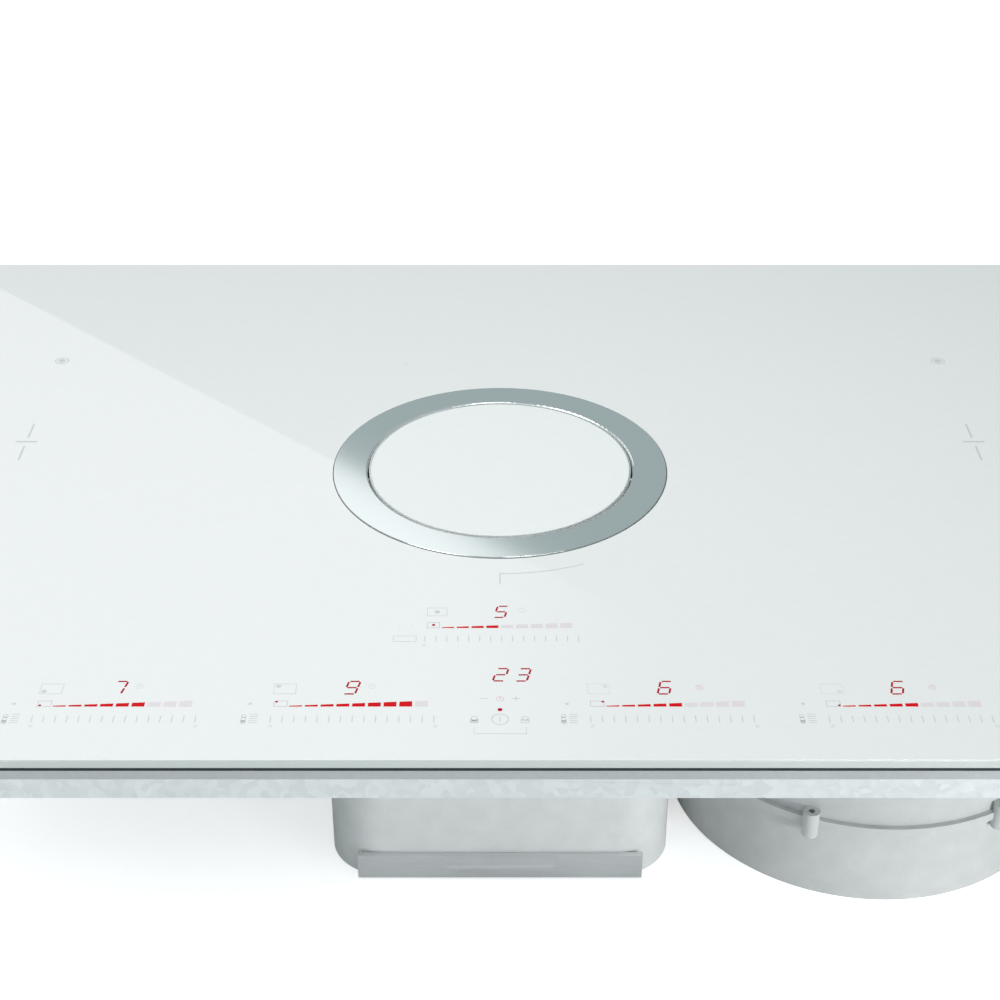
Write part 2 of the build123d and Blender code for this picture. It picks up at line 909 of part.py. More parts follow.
def gear_plane(start, z):
    """Plane of a gear on the left of the opening, its own X pointing down."""
    return Plane(origin=(start, opening_y, z), x_dir=(0, 0, -1), z_dir=(1, 0, 0))


def quadrant_gear():
    """Toothed sector on the drive shaft. It hangs down, clear of the glass."""
    root_radius = quadrant_radius - gear_dedendum
    tooth_step = 360 / quadrant_teeth
    first = -(quadrant_teeth_before + 0.5) * tooth_step
    last = (quadrant_teeth_after + 0.5) * tooth_step
    middle = radians((first + last) / 2)
    corners = [
        (root_radius * cos(angle), root_radius * sin(angle))
        for angle in (radians(first), middle, radians(last))
    ]
    web = make_face(
        Line((0, 0), corners[0]) + ThreePointArc(*corners) + Line(corners[2], (0, 0))
    )
    wheel = web + Circle(quadrant_hub_radius)
    tooth = gear_tooth(quadrant_teeth)
    for step in range(-quadrant_teeth_before, quadrant_teeth_after + 1):
        wheel += Rot(0, 0, step * tooth_step) * tooth
    wheel -= Circle(drive_shaft_radius)
    window_reach = (quadrant_hub_radius + root_radius) / 2
    window = Pos(window_reach * cos(middle), window_reach * sin(middle))
    wheel -= window * Circle(quadrant_window_radius)
    return extrude(gear_plane(-gear_end, pivot_z) * wheel, gear_width)


def motor_pinion():
    """Pinion and output shaft of the gear motor, in mesh below the quadrant."""
    tooth_step = 360 / pinion_teeth
    wheel = Circle(pinion_radius - gear_dedendum)
    tooth = gear_tooth(pinion_teeth)
    for step in range(pinion_teeth):
        wheel += Rot(0, 0, 180 + (step + 0.5) * tooth_step) * tooth
    pinion = extrude(gear_plane(-gear_end, pinion_z) * wheel, gear_width)
    shaft_end = motor_plate_x + motor_plate_sheet + gearbox_length / 2
    return pinion + rod_x(pinion_shaft_radius, -shaft_end, -gear_start, opening_y, pinion_z)


def drive_shaft():
    """Shaft through the collar, with the flat tongue that turns the flap."""
    shaft = rod_x(drive_shaft_radius, -gear_end - gear_step, -opening_radius, opening_y, pivot_z)
    tongue_root = opening_radius + drive_shaft_radius
    tongue = slab(
        tongue_root - tongue_tip,
        tongue_width,
        pivot_z - tongue_height / 2,
        pivot_z + tongue_height / 2,
        x=-(tongue_root + tongue_tip) / 2,
        y=opening_y,
    )
    return shaft + tongue


def shaft_bush():
    """Bush of the drive shaft in the collar's boss."""
    start = opening_radius + locating_play
    bush = rod_x(drive_bush_radius, -collar_flange_radius, -start, opening_y, pivot_z)
    return bush - rod_x(drive_bush_bore, -collar_flange_radius, -start, opening_y, pivot_z)


def flap_motor():
    """Small gear motor that tilts the flap."""
    front = -(motor_plate_x + motor_plate_sheet)
    back = front - gearbox_length
    box = Pos((front + back) / 2, opening_y, pinion_z) * Box(
        gearbox_length, 2 * gearbox_half_width, 2 * gearbox_half_height
    )
    box = fillet(box.edges().filter_by(Axis.X), gearbox_round)
    can = rod_x(motor_can_radius, back - motor_can_length, back, opening_y, pinion_z)
    bore_radius = pinion_shaft_radius + running_fit
    bore = rod_x(bore_radius, front - gearbox_length / 2 - fork_play, front, opening_y, pinion_z)
    return box + can - bore


def motor_bracket():
    """Bent sheet that stands on the casing floor and carries the gear motor."""
    front = -motor_plate_x
    back = front - motor_plate_sheet
    plate_top = pinion_z + gearbox_half_height + gearbox_round
    upright = Pos((front + back) / 2, opening_y, (casing_floor + plate_top) / 2) * Box(
        motor_plate_sheet, 2 * motor_plate_half_width, plate_top - casing_floor
    )
    foot = slab(
        motor_foot_length,
        2 * motor_plate_half_width,
        casing_floor,
        casing_floor + motor_plate_sheet,
        x=front - motor_foot_length / 2,
        y=opening_y,
    )
    hole = rod_x(pinion_shaft_radius * 2, back, front, opening_y, pinion_z)
    return upright + foot - hole


# ---- Inlet duct and grease filter ----------------------------------------------------
def inlet_duct():
    """Plastic duct: a socket over the collar, a plain tube, and the filter's ledge."""
    socket_radius = socket_bore + plastic_wall
    socket_top = collar_bottom + socket_grip
    shoulder_low = duct_shoulder - plastic_wall
    ledge_low = ledge_top - plastic_wall
    socket = hoop(socket_radius, opening_radius, shoulder_low, duct_shoulder, y=opening_y)
    socket += hoop(socket_radius, socket_bore, duct_shoulder, socket_top, y=opening_y)
    tube = hoop(duct_radius, opening_radius, duct_bottom, shoulder_low, y=opening_y)
    ledge = hoop(opening_radius, ledge_radius, ledge_low, ledge_top, y=opening_y)
    return [socket, tube, ledge]


def duct_seal():
    """Rubber ring in the bottom of the duct's socket, under the collar."""
    return hoop(
        collar_radius - duct_seal_margin,
        opening_radius + duct_seal_margin,
        duct_shoulder,
        collar_bottom,
        y=opening_y,
    )


def filter_frame():
    """Cage of the grease filter: rim with its band, upright ribs, and spoked floor."""
    floor_top = filter_bottom + filter_floor_thickness
    rim = hoop(filter_rim_radius, filter_inside, filter_rim_low, filter_rim_top, y=opening_y)
    rim += hoop(filter_radius, filter_inside, mesh_top, filter_rim_top, y=opening_y)
    rib = slab(filter_wall, filter_rib_width, floor_top, mesh_top, x=filter_radius - filter_wall / 2)
    floor_bore = filter_radius - filter_floor_ring
    floor = hoop(filter_radius, floor_bore, filter_bottom, floor_top, y=opening_y)
    floor += disc(filter_hub_radius, filter_bottom, floor_top, y=opening_y)
    spoke_length = filter_radius - filter_floor_ring / 2
    spoke = slab(spoke_length, filter_rib_width, filter_bottom, floor_top, x=spoke_length / 2)
    floor += round_copies(spoke, filter_spoke_count, y=opening_y)
    return [rim, floor, *round_copies(rib, filter_rib_count, y=opening_y)]


def filter_mesh():
    """Mesh of the filter: a rolled wall inside the ribs, and a disc on the floor."""
    inside = mesh_radius - mesh_thickness
    wall = hoop(mesh_radius, inside, mesh_bottom, mesh_top, y=opening_y)
    floor = disc(inside, mesh_bottom, mesh_bottom + mesh_thickness, y=opening_y)
    return [wall, floor]


def filter_handle():
    """Bowed strap across the basket, to lift it by."""
    end_z = filter_rim_top - filter_band + handle_thickness
    reach = sqrt(filter_inside**2 - (handle_width / 2) ** 2) - mesh_gap
    strap = Plane.XZ * make_face(
        ThreePointArc((-reach, end_z), (0, end_z + handle_rise), (reach, end_z))
        + Line((reach, end_z), (reach, end_z + handle_thickness))
        + ThreePointArc(
            (reach, end_z + handle_thickness),
            (0, end_z + handle_rise + handle_thickness),
            (-reach, end_z + handle_thickness),
        )
        + Line((-reach, end_z + handle_thickness), (-reach, end_z))
    )
    return Pos(0, opening_y, 0) * extrude(strap, handle_width / 2, both=True)


# ---- Air box, seals and spill tray ---------------------------------------------------
def channel_space(inset, low, high):
    """The channel from the chamber to the blower, or its inside when inset."""
    width = channel_width - 2 * inset
    straight = slab(blower_x, width, low, high, x=blower_x / 2, y=opening_y)
    return straight + disc(width / 2, low, high, blower_x, opening_y)


def chamber_block(margin, low, high):
    """The chamber's rounded block, or its room or flange when grown by a margin."""
    corner = min(chamber_corner_radius, chamber_corner_radius + margin)
    length = chamber_length + 2 * margin
    return slab(length, chamber_depth + 2 * margin, low, high, y=opening_y, corner=corner)


def flange_gussets():
    """Upright gussets under the flange, on the three sides away from the blower."""
    root = -plastic_wall / 2
    flange_low = air_box_top - air_box_flange_thickness
    flange_middle = air_box_top - air_box_flange_thickness / 2
    face = Plane.XZ * make_face(
        Polyline(
            (root, flange_middle),
            (gusset_reach, flange_middle),
            (gusset_reach, flange_low - plastic_wall),
            (0, flange_low - gusset_height),
            (root, flange_low - gusset_height),
            close=True,
        )
    )
    gusset = extrude(face, gusset_thickness / 2, both=True)
    gussets = []
    for turn, wall in ((90, chamber_depth / 2), (180, chamber_length / 2), (270, chamber_depth / 2)):
        for place in range(gusset_count):
            along = (place - (gusset_count - 1) / 2) * gusset_pitch
            gussets.append(Pos(0, opening_y, 0) * Rot(0, 0, turn) * Pos(wall, along, 0) * gusset)
    return gussets


def air_chamber():
    """Moulded chamber under the filter, with a flange and a drawer bay below its floor."""
    wall = plastic_wall
    chamber_floor = bay_height + wall
    flange_low = air_box_top - air_box_flange_thickness
    box = chamber_block(0, 0, air_box_top) + chamber_block(air_box_flange, flange_low, air_box_top)
    box += flange_gussets()
    box -= chamber_block(-wall, chamber_floor, channel_roof)
    box -= chamber_block(-wall, 0, bay_height)
    box -= channel_space(wall, channel_floor, channel_roof)
    box -= disc(duct_radius + socket_play, channel_roof, air_box_top, y=opening_y)
    box -= slab(
        drain_length, drain_depth, bay_height, chamber_floor, y=opening_y, corner=drain_corner_radius
    )
    front = opening_y - chamber_depth / 2
    mouth_width = tray_width + 2 * (tray_flange + tray_play)
    box -= slab(mouth_width, 2 * chamber_corner_radius, 0, bay_height - wall, y=front)
    runner_top = tray_lift + tray_height - tray_flange_thickness - tray_play
    runner_out = (chamber_length - wall) / 2
    runner_in = tray_width / 2 + tray_play
    runner_depth = chamber_depth - 2 * (wall + chamber_corner_radius)
    for side in (-1, 1):
        box += slab(
            runner_out - runner_in,
            runner_depth,
            runner_top - runner_thickness,
            runner_top,
            x=side * (runner_out + runner_in) / 2,
            y=opening_y,
        )
    for x, y in air_box_screw_places():
        box -= disc(flange_screw_radius, flange_low, air_box_top, x, y)
    return box


def air_channel():
    """Flat channel that butts on the chamber and lies on the scroll, over its eye."""
    flange_low = air_box_top - air_box_flange_thickness
    channel = channel_space(0, scroll_top, air_box_top)
    channel -= channel_space(plastic_wall, channel_floor, channel_roof)
    channel -= chamber_block(0, scroll_top, air_box_top)
    channel -= chamber_block(air_box_flange, flange_low, air_box_top)
    return channel - disc(eye_radius, scroll_top, channel_floor, blower_x, opening_y)


def air_box_seal():
    """Foam ring between the air box and the casing, round the duct."""
    bore = duct_radius + socket_play
    return hoop(bore + foam_width, bore, air_box_top, casing_bottom, y=opening_y)


def air_box_screws():
    """Screws that hang the air box under the casing."""
    seat = air_box_top - air_box_flange_thickness
    screws = []
    for x, y in air_box_screw_places():
        head = disc(flange_head_radius, seat - flange_head_height, seat, x, y)
        shank = disc(flange_screw_radius, seat, casing_floor + casing_sheet, x, y)
        screws.append(head + shank)
    return screws


def spill_tray():
    """Shallow drawer under the chamber's drain, pulled out to the front."""
    top = tray_lift + tray_height
    front = opening_y - chamber_depth / 2
    middle = front + tray_length / 2
    tray = slab(tray_width, tray_length, tray_lift, top, y=middle, corner=tray_corner_radius)
    tray += slab(
        tray_width + 2 * tray_flange,
        tray_length - 2 * tray_corner_radius,
        top - tray_flange_thickness,
        top,
        y=middle,
    )
    tray -= slab(
        tray_width - 2 * tray_wall,
        tray_length - 2 * tray_wall,
        tray_lift + tray_wall,
        top,
        y=middle,
        corner=tray_corner_radius - tray_wall,
    )
    face_back = front - tray_play
    tray += slab(
        tray_front_width,
        tray_front_thickness,
        tray_lift,
        bay_height,
        y=face_back - tray_front_thickness / 2,
    )
    tray += slab(
        tray_width / 2, 2 * tray_wall + tray_play, tray_lift, top, y=front + tray_wall / 2 - tray_play / 2
    )
    tray += slab(
        tray_pull_width,
        tray_pull_depth,
        bay_height - tray_wall,
        bay_height,
        y=face_back - tray_front_thickness - tray_pull_depth / 2,
    )
    return tray


# ---- Blower --------------------------------------------------------------------------
def spiral_point(angle, margin):
    """A point of the scroll's spiral at an angle in radians, moved out by a margin."""
    start = radians(cutoff_angle)
    share = (angle - start) / (2 * pi - start)
    radius = cutoff_radius + share * scroll_growth + margin
    return (blower_x + radius * cos(angle), opening_y + radius * sin(angle))


def scroll_outline(inset):
    """Plan of the scroll and its outlet, or of its inside when inset by the wall."""
    start = radians(cutoff_angle)
    angle_step = (2 * pi - start) / spiral_steps
    points = [spiral_point(start + step * angle_step, -inset) for step in range(spiral_steps + 1)]
    left = mouth_left + inset
    tongue_y = opening_y + cutoff_radius * sin(start)
    outlet = [points[-1], (points[-1][0], mouth_y), (left, mouth_y)]
    if inset > 0:
        outlet.append((left, tongue_y))
    return make_face(Spline(*points) + Polyline(*outlet, points[0]))


def lug_places():
    """Places of the screw lugs round the joint of the scroll's two halves."""
    angles = [lug_first_angle + lug * lug_angle_step for lug in range(lug_count)]
    return [spiral_point(radians(angle), joint_proud) for angle in angles]


def scroll_housing():
    """Spiral housing in two halves, screwed at a proud joint, open at eye and outlet."""
    housing = extrude(scroll_outline(0), scroll_height)
    joint_low = (scroll_height - joint_height) / 2
    housing += Pos(0, 0, joint_low) * extrude(scroll_outline(-joint_proud), joint_height)
    lug_low = (scroll_height - lug_height) / 2
    lug_high = lug_low + lug_height
    for x, y in lug_places():
        housing += disc(lug_radius, lug_low, lug_high, x, y)
    inside_height = scroll_height - 2 * plastic_wall
    housing -= Pos(0, 0, plastic_wall) * extrude(scroll_outline(plastic_wall), inside_height)
    housing -= disc(eye_radius, scroll_top - plastic_wall, scroll_top, blower_x, opening_y)
    for x, y in lug_places():
        housing -= disc(lug_bore, lug_low, lug_high, x, y)
    return housing


def inlet_cone():
    """Bell mouth that leads the air from the channel into the impeller."""
    flange_radius = eye_radius + cone_flange_width
    flange_top = channel_floor + cone_flange_thickness
    throat_low = flange_top - cone_drop
    throat_outside = cone_throat_radius + cone_wall
    bell_outside = eye_radius - cone_flange_thickness
    section = (
        Polyline(
            (cone_throat_radius, throat_low),
            (throat_outside, throat_low),
            (throat_outside, channel_floor - cone_flange_width),
            (bell_outside, channel_floor),
            (flange_radius, channel_floor),
            (flange_radius, flange_top),
            (bell_outside, flange_top),
        )
        + ThreePointArc(
            (bell_outside, flange_top),
            (cone_throat_radius + cone_bulge, flange_top - cone_bulge),
            (cone_throat_radius, flange_top - cone_flange_width),
        )
        + Line((cone_throat_radius, flange_top - cone_flange_width), (cone_throat_radius, throat_low))
    )
    return turned(section, blower_x, opening_y)


def polar(radius, angle):
    """A point given by its radius and its angle in degrees."""
    return (radius * cos(radians(angle)), radius * sin(radians(angle)))


def impeller_blade():
    """Forward-curved blade, with its own plan bowed between the two radii."""
    middle_radius = (impeller_radius + impeller_inner_radius) / 2
    thick_turn = blade_thickness / middle_radius * 180 / pi
    foot = impeller_inner_radius
    tip = impeller_radius - blade_thickness / 2
    bow_angle = blade_sweep / 2 - blade_bow
    outline = (
        ThreePointArc(polar(foot, 0), polar(middle_radius, bow_angle), polar(tip, blade_sweep))
        + Line(polar(tip, blade_sweep), polar(tip, blade_sweep + thick_turn))
        + ThreePointArc(
            polar(tip, blade_sweep + thick_turn),
            polar(middle_radius, bow_angle + thick_turn),
            polar(foot, thick_turn),
        )
        + Line(polar(foot, thick_turn), polar(foot, 0))
    )
    blade_low = impeller_floor + impeller_plate / 2
    blade_high = impeller_top - impeller_ring_height / 2
    return Pos(0, 0, blade_low) * extrude(make_face(outline), blade_high - blade_low)


def impeller():
    """Centrifugal impeller: hub, back plate, blades and front ring in one moulding."""
    x, y = blower_x, opening_y
    plate_top = impeller_floor + impeller_plate
    inside = hub_radius - hub_wall
    wheel = hoop(impeller_radius, inside, impeller_floor, plate_top, x, y)
    wheel += hoop(hub_radius, inside, impeller_floor, hub_top, x, y)
    wheel += hoop(hub_radius, shaft_radius, hub_top - hub_wall, hub_top, x, y)
    wheel += hoop(shaft_radius + hub_wall, shaft_radius, hub_top, hub_top + 2 * hub_wall, x, y)
    wheel += hoop(
        impeller_radius,
        impeller_inner_radius - cone_wall,
        impeller_top - impeller_ring_height,
        impeller_top,
        x,
        y,
    )
    return wheel + round_copies(impeller_blade(), blade_count, x, y)


def rotor_cup():
    """Drawn steel cup of the external rotor, which turns with the impeller."""
    cup = disc(rotor_radius, rotor_low, rotor_top, blower_x, opening_y)
    cup -= disc(rotor_radius - rotor_wall, rotor_low, rotor_top - rotor_wall, blower_x, opening_y)
    return cup - disc(shaft_radius, rotor_low, rotor_top, blower_x, opening_y)


def fan_stator():
    """Slotted stator pack on the bearing tube."""
    stator = hoop(stator_radius, tube_radius, stator_low, stator_low + stator_height)
    slot = slab(
        stator_slot_depth,
        stator_slot_width,
        stator_low,
        stator_low + stator_height,
        x=stator_radius - stator_slot_depth / 2 + running_fit,
    )
    stator -= round_copies(slot, stator_slots)
    return Pos(blower_x, opening_y, 0) * stator


def motor_shaft():
    """Steel shaft of the blower motor."""
    return disc(
        shaft_radius, motor_base_top + running_fit, hub_top + 3 * hub_wall, blower_x, opening_y
    )


def motor_bearings():
    """Two bearings in the tube, at its foot and at its top."""
    tube_top = motor_base_top + tube_height
    lows = (motor_base_top, tube_top - bearing_height)
    return [
        hoop(bearing_radius, bearing_bore, low, low + bearing_height, blower_x, opening_y)
        for low in lows
    ]


def motor_base():
    """Cast base of the motor with its bearing tube."""
    base = disc(motor_base_radius, motor_base_low, motor_base_top)
    base += hoop(tube_radius, bearing_radius, motor_base_top, motor_base_top + tube_height)
    return Pos(blower_x, opening_y, 0) * base


def motor_grommets():
    """Rubber mounts between the scroll's floor and the motor base."""
    grommet = disc(grommet_radius, plastic_wall, motor_base_low, x=grommet_circle)
    return round_copies(grommet, grommet_count, blower_x, opening_y)


def hanger_places():
    """Places on the scroll's top where sheet hangers reach up to the casing."""
    return (
        (mouth_right - hanger_edge, opening_y - hanger_forward),
        (mouth_right - hanger_mouth_edge, mouth_y - hanger_mouth_back),
        (blower_x, opening_y + channel_width / 2 + hanger_width / 2 + hanger_play),
    )


def blower_hangers():
    """Z-shaped sheet hangers from the casing down to the scroll."""
    hangers = []
    for x, y in hanger_places():
        foot = slab(hanger_foot, hanger_width, scroll_top, scroll_top + hanger_sheet, x=x, y=y)
        web_x = x + (hanger_foot - hanger_sheet) / 2
        web = slab(hanger_sheet, hanger_width, scroll_top, casing_bottom, x=web_x, y=y)
        head_x = web_x + (hanger_foot - hanger_sheet) / 2
        head = slab(
            hanger_foot, hanger_width, casing_bottom - hanger_sheet, casing_bottom, x=head_x, y=y
        )
        hangers.append(foot + web + head)
    return hangers


def upright_rectangle(length, height, x, y, low):
    """A rectangle standing across Y, for the flow path of the outlet."""
    return Plane(origin=(x, y, low + height / 2), x_dir=(1, 0, 0), z_dir=(0, 1, 0)) * Rectangle(
        length, height
    )


def flow_body(inset, mouth_start, spigot_finish):
    """Body of the outlet passage from the scroll's mouth to the flat duct."""
    mouth = (mouth_length - 2 * inset, scroll_height - 2 * inset, mouth_x)
    duct = (flat_duct_length - 2 * inset, flat_duct_height - 2 * inset, spigot_x)
    body = loft(
        [
            upright_rectangle(*mouth, mouth_start, inset),
            upright_rectangle(*duct, diffuser_end, spigot_low + inset),
        ],
        ruled=True,
    )
    grip = upright_rectangle(*duct, diffuser_end, spigot_low + inset)
    return body + extrude(grip, spigot_finish - diffuser_end)


def outlet_spigot():
    """Diffuser from the scroll's mouth to the flat duct's spigot, with a stop for the duct."""
    spigot = flow_body(0, mouth_y, spigot_end)
    sleeve_inset = plastic_wall + mouth_play
    sleeve = upright_rectangle(
        mouth_length - 2 * sleeve_inset,
        scroll_height - 2 * sleeve_inset,
        mouth_x,
        mouth_y - mouth_overlap,
        sleeve_inset,
    )
    spigot += extrude(sleeve, mouth_overlap + plastic_wall)
    stop = upright_rectangle(
        flat_duct_length + 2 * duct_stop_proud,
        flat_duct_height + 2 * duct_stop_proud,
        spigot_x,
        diffuser_end,
        spigot_low - duct_stop_proud,
    )
    spigot += extrude(stop, duct_stop_width)
    bore_inset = 2 * plastic_wall + mouth_play
    mouth_bore = upright_rectangle(
        mouth_length - 2 * bore_inset,
        scroll_height - 2 * bore_inset,
        mouth_x,
        mouth_y - mouth_overlap,
        bore_inset,
    )
    spigot -= extrude(mouth_bore, mouth_overlap + 2 * plastic_wall)
    return spigot - flow_body(plastic_wall, mouth_y + plastic_wall, spigot_end)


# ---- Coils and trays -----------------------------------------------------------------
def coil_places():
    """Centres of the four coils."""
    return [(side * coil_x, y) for side in (-1, 1) for y in (front_coil_y, rear_coil_y)]


def turn_plan(inset):
    """Plan of a winding's edge, moved in. The inner turns are rounder."""
    length = coil_length - 2 * inset
    depth = coil_depth - 2 * inset
    corner = min(coil_corner_radius, coil_roundness * min(length, depth) / 2)
    return RectangleRounded(length, depth, corner)


def coil_windings():
    """Flat litz windings of the four coils, with a groove between their turns."""
    winding = slab(coil_length, coil_depth, coil_bottom, coil_top, corner=coil_corner_radius)
    winding -= disc(coil_eye_radius, coil_bottom, coil_top)
    turn_pitch = (min(coil_length, coil_depth) / 2 - coil_eye_radius) / coil_turns
    groove_low = coil_top - turn_groove_depth
    for turn in range(1, coil_turns):
        inset = turn * turn_pitch
        groove = turn_plan(inset) - turn_plan(inset + turn_groove_width)
        winding -= Pos(0, 0, groove_low) * extrude(groove, turn_groove_depth)
    return [Pos(x, y, 0) * winding for x, y in coil_places()]


def coil_carriers():
    """Moulded plates that the windings lie on."""
    carrier = slab(coil_length, coil_depth, carrier_bottom, coil_bottom, corner=coil_corner_radius)
    carrier -= disc(sensor_body_radius + running_fit, carrier_bottom, coil_bottom)
    return [Pos(x, y, 0) * carrier for x, y in coil_places()]


def mica_sheets():
    """Thin insulating sheets over the windings."""
    sheet = slab(
        coil_length + mica_margin,
        coil_depth + mica_margin,
        coil_top,
        coil_top + mica_thickness,
        corner=coil_corner_radius,
    )
    sheet -= disc(sensor_radius + mica_gap, coil_top, coil_top + mica_thickness)
    return [Pos(x, y, 0) * sheet for x, y in coil_places()]


def ferrite_bars():
    """Ferrite bars in a star under each coil, resting on the tray."""
    bars = []
    for x, y in coil_places():
        for turn in range(4):
            angle = 90 * turn
            reach = ferrite_offset if turn % 2 == 0 else ferrite_offset - ferrite_width
            bar = slab(ferrite_length, ferrite_width, ferrite_bottom, carrier_bottom, x=reach)
            bars.append(Pos(x, y, 0) * Rot(0, 0, angle) * bar)
    return bars


def temperature_sensors():
    """Sensors pressed to the glass in the middle of each coil."""
    head = disc(sensor_radius, coil_bottom, coil_top + mica_thickness)
    stem = disc(sensor_body_radius, carrier_bottom, coil_bottom)
    return [Pos(x, y, 0) * (head + stem) for x, y in coil_places()]


def coil_trays():
    """Aluminium trays, one for each side, that carry two coils."""
    tray = slab(
        coil_tray_length,
        coil_tray_depth,
        coil_tray_bottom,
        ferrite_bottom,
        y=coil_tray_y,
        corner=coil_tray_corner,
    )
    return [Pos(side * coil_x, 0, 0) * tray for side in (-1, 1)]


def tray_posts():
    """Posts from the casing floor up to the coil trays."""
    posts = []
    half_length = coil_tray_length / 2 - post_inset
    front = coil_tray_y - coil_tray_depth / 2 + post_inset
    back = coil_tray_y + coil_tray_depth / 2 - post_inset
    for side in (-1, 1):
        for end in (-1, 1):
            for y in (front, back):
                x = side * coil_x + end * half_length
                foot = front_bottom + casing_sheet if y < front_step_y else casing_floor
                posts.append(disc(post_radius, foot, coil_tray_bottom, x, y))
    return posts


# ---- Power electronics ---------------------------------------------------------------
def power_boards():
    """Inverter boards, one for each pair of coils, on moulded feet."""
    board = slab(board_length, board_depth, board_bottom, board_top)
    half_length = board_length / 2 - board_foot_inset
    half_depth = board_depth / 2 - board_foot_inset
    for x in (-half_length, half_length):
        for y in (-half_depth, half_depth):
            board += disc(board_foot_radius, casing_floor, board_bottom, x, y)
    return [Pos(side * coil_x, board_y, 0) * board for side in (-1, 1)]


def heat_sinks():
    """Extruded heat sinks, with fins along the cooling air."""
    base_top = board_top + sink_base
    sink = slab(sink_length, sink_depth, board_top, base_top)
    pitch = (sink_length - sink_fin_thickness) / (sink_fins - 1)
    for fin in range(sink_fins):
        x = fin * pitch - (sink_length - sink_fin_thickness) / 2
        sink += slab(sink_fin_thickness, sink_depth, board_top, board_top + sink_height, x=x)
    return [Pos(side * (coil_x - sink_offset), board_y, 0) * sink for side in (-1, 1)]


def board_components():
    """Capacitors, chokes and relays on the inverter boards."""
    parts = []
    for side in (-1, 1):
        edge_x = side * (coil_x + board_length / 2 - 2 * capacitor_radius)
        for y in (-board_depth / 3, 0, board_depth / 3):
            top = board_top + capacitor_height
            parts.append(disc(capacitor_radius, board_top, top, edge_x, board_y + y))
        inner_x = side * (coil_x + choke_x)
        choke_top = board_top + choke_height
        for y in (-board_depth / 4, board_depth / 4):
            choke = slab(choke_length, choke_depth, board_top, choke_top, x=inner_x, y=board_y + y)
            parts.append(choke)
    return parts


def fan_frames():
    """Square cooling fan frames over the floor vents, with spider and pin."""
    top = casing_floor + fan_height
    frame = slab(fan_size, fan_size, casing_floor, top, corner=fan_corner_radius)
    frame -= disc(fan_bore_radius, casing_floor, top)
    spider_top = casing_floor + fan_spider_thickness
    frame += disc(fan_spider_radius, casing_floor, spider_top)
    strut_length = fan_bore_radius + fan_strut_width / 2
    strut = slab(strut_length, fan_strut_width, casing_floor, spider_top, x=strut_length / 2)
    frame += round_copies(strut, fan_strut_count)
    frame += disc(fan_pin_radius, spider_top, spider_top + fan_pin_height)
    return [Pos(side * coil_x, fan_y, 0) * frame for side in (-1, 1)]


def fan_rotor(side):
    """Hub and pitched blades of one cooling fan."""
    low = casing_floor + fan_spider_thickness + fork_play
    high = low + fan_hub_height
    rotor = disc(fan_hub_radius, low, high)
    tip_radius = fan_bore_radius - fan_tip_gap
    blade_reach = tip_radius - fan_hub_radius / 2
    blade = Pos(fan_hub_radius / 2 + blade_reach / 2, 0, (low + high) / 2) * Rot(
        fan_blade_pitch, 0, 0
    ) * Box(blade_reach, fan_blade_chord, fan_blade_thickness)
    rotor += round_copies(blade, fan_blade_count)
    rotor = rotor & disc(tip_radius, low, high)
    rotor -= disc(fan_pin_radius + running_fit, low, low + fan_pin_height)
    return Pos(side * coil_x, fan_y, 0) * rotor


# ---- Touch controls ------------------------------------------------------------------
def control_outline(low, high, inset=0.0):
    """Plan of the touch board: a long bar, with a tab for the hood slider behind it."""
    bar = slab(
        control_length - 2 * inset,
        control_depth - 2 * inset,
        low,
        high,
        y=-(control_front + control_back) / 2,
    )
    tab_depth = hood_control_depth + control_depth / 2 - inset
    tab = slab(
        hood_control_length - 2 * inset,
        tab_depth,
        low,
        high,
        y=-(hood_control_back + inset) - tab_depth / 2,
    )
    return bar + tab


def ui_board():
    """Touch board close under the glass."""
    return control_outline(control_board_bottom, control_board_top)


def ui_displays():
    """Light boxes of the slider bars and digits, one for each slider and the timer."""
    bar_y = -(control_front + control_back) / 2
    hood_y = -(hood_control_back + control_back) / 2
    boxes = []
    for x in (-slider_pitch_outer, -slider_pitch_inner, slider_pitch_inner, slider_pitch_outer):
        boxes.append((display_length, x, bar_y))
    boxes.append((timer_length, 0, bar_y))
    boxes.append((display_length, 0, hood_y))
    return [
        slab(length, display_depth, control_board_top, display_top, x=x, y=y)
        for length, x, y in boxes
    ]


def ui_carrier():
    """Moulded carrier that holds the touch board up under the glass."""
    carrier = control_outline(control_carrier_bottom, control_board_bottom)
    rib_foot = front_bottom + casing_sheet
    pitch = (control_length - control_rib_width) / (control_rib_count - 1)
    for rib in range(control_rib_count):
        x = rib * pitch - (control_length - control_rib_width) / 2
        carrier += slab(
            control_rib_width,
            control_depth / 2,
            rib_foot,
            control_carrier_bottom,
            x=x,
            y=-(control_front + control_back) / 2,
        )
    return carrier


# ---- Mains connection and control box ------------------------------------------------
def terminal_block():
    """Row of screw terminals under the casing floor."""
    low = casing_bottom - terminal_block_height
    length = terminal_ways * terminal_way_pitch
    block = slab(length, terminal_block_depth, low, casing_bottom)
    for way in range(terminal_ways):
        x = (way - (terminal_ways - 1) / 2) * terminal_way_pitch
        block -= disc(terminal_screw_radius, low, low + terminal_screw_radius, x)
    for way in range(terminal_ways - 1):
        x = (way + 1 - terminal_ways / 2) * terminal_way_pitch
        block -= slab(terminal_wall / 2, terminal_block_depth, low, low + terminal_wall, x=x)
    return Pos(terminal_x, terminal_y + terminal_block_depth / 2, 0) * block


def hollow_cover(length, depth, height, corner, wall, x, y):
    """Open-topped moulded cover that closes against the casing floor."""
    low = casing_bottom - height
    shell = slab(length, depth, low, casing_bottom, x=x, y=y, corner=corner)
    return shell - slab(
        length - 2 * wall,
        depth - 2 * wall,
        low + wall,
        casing_bottom,
        x=x,
        y=y,
        corner=corner - wall,
    )


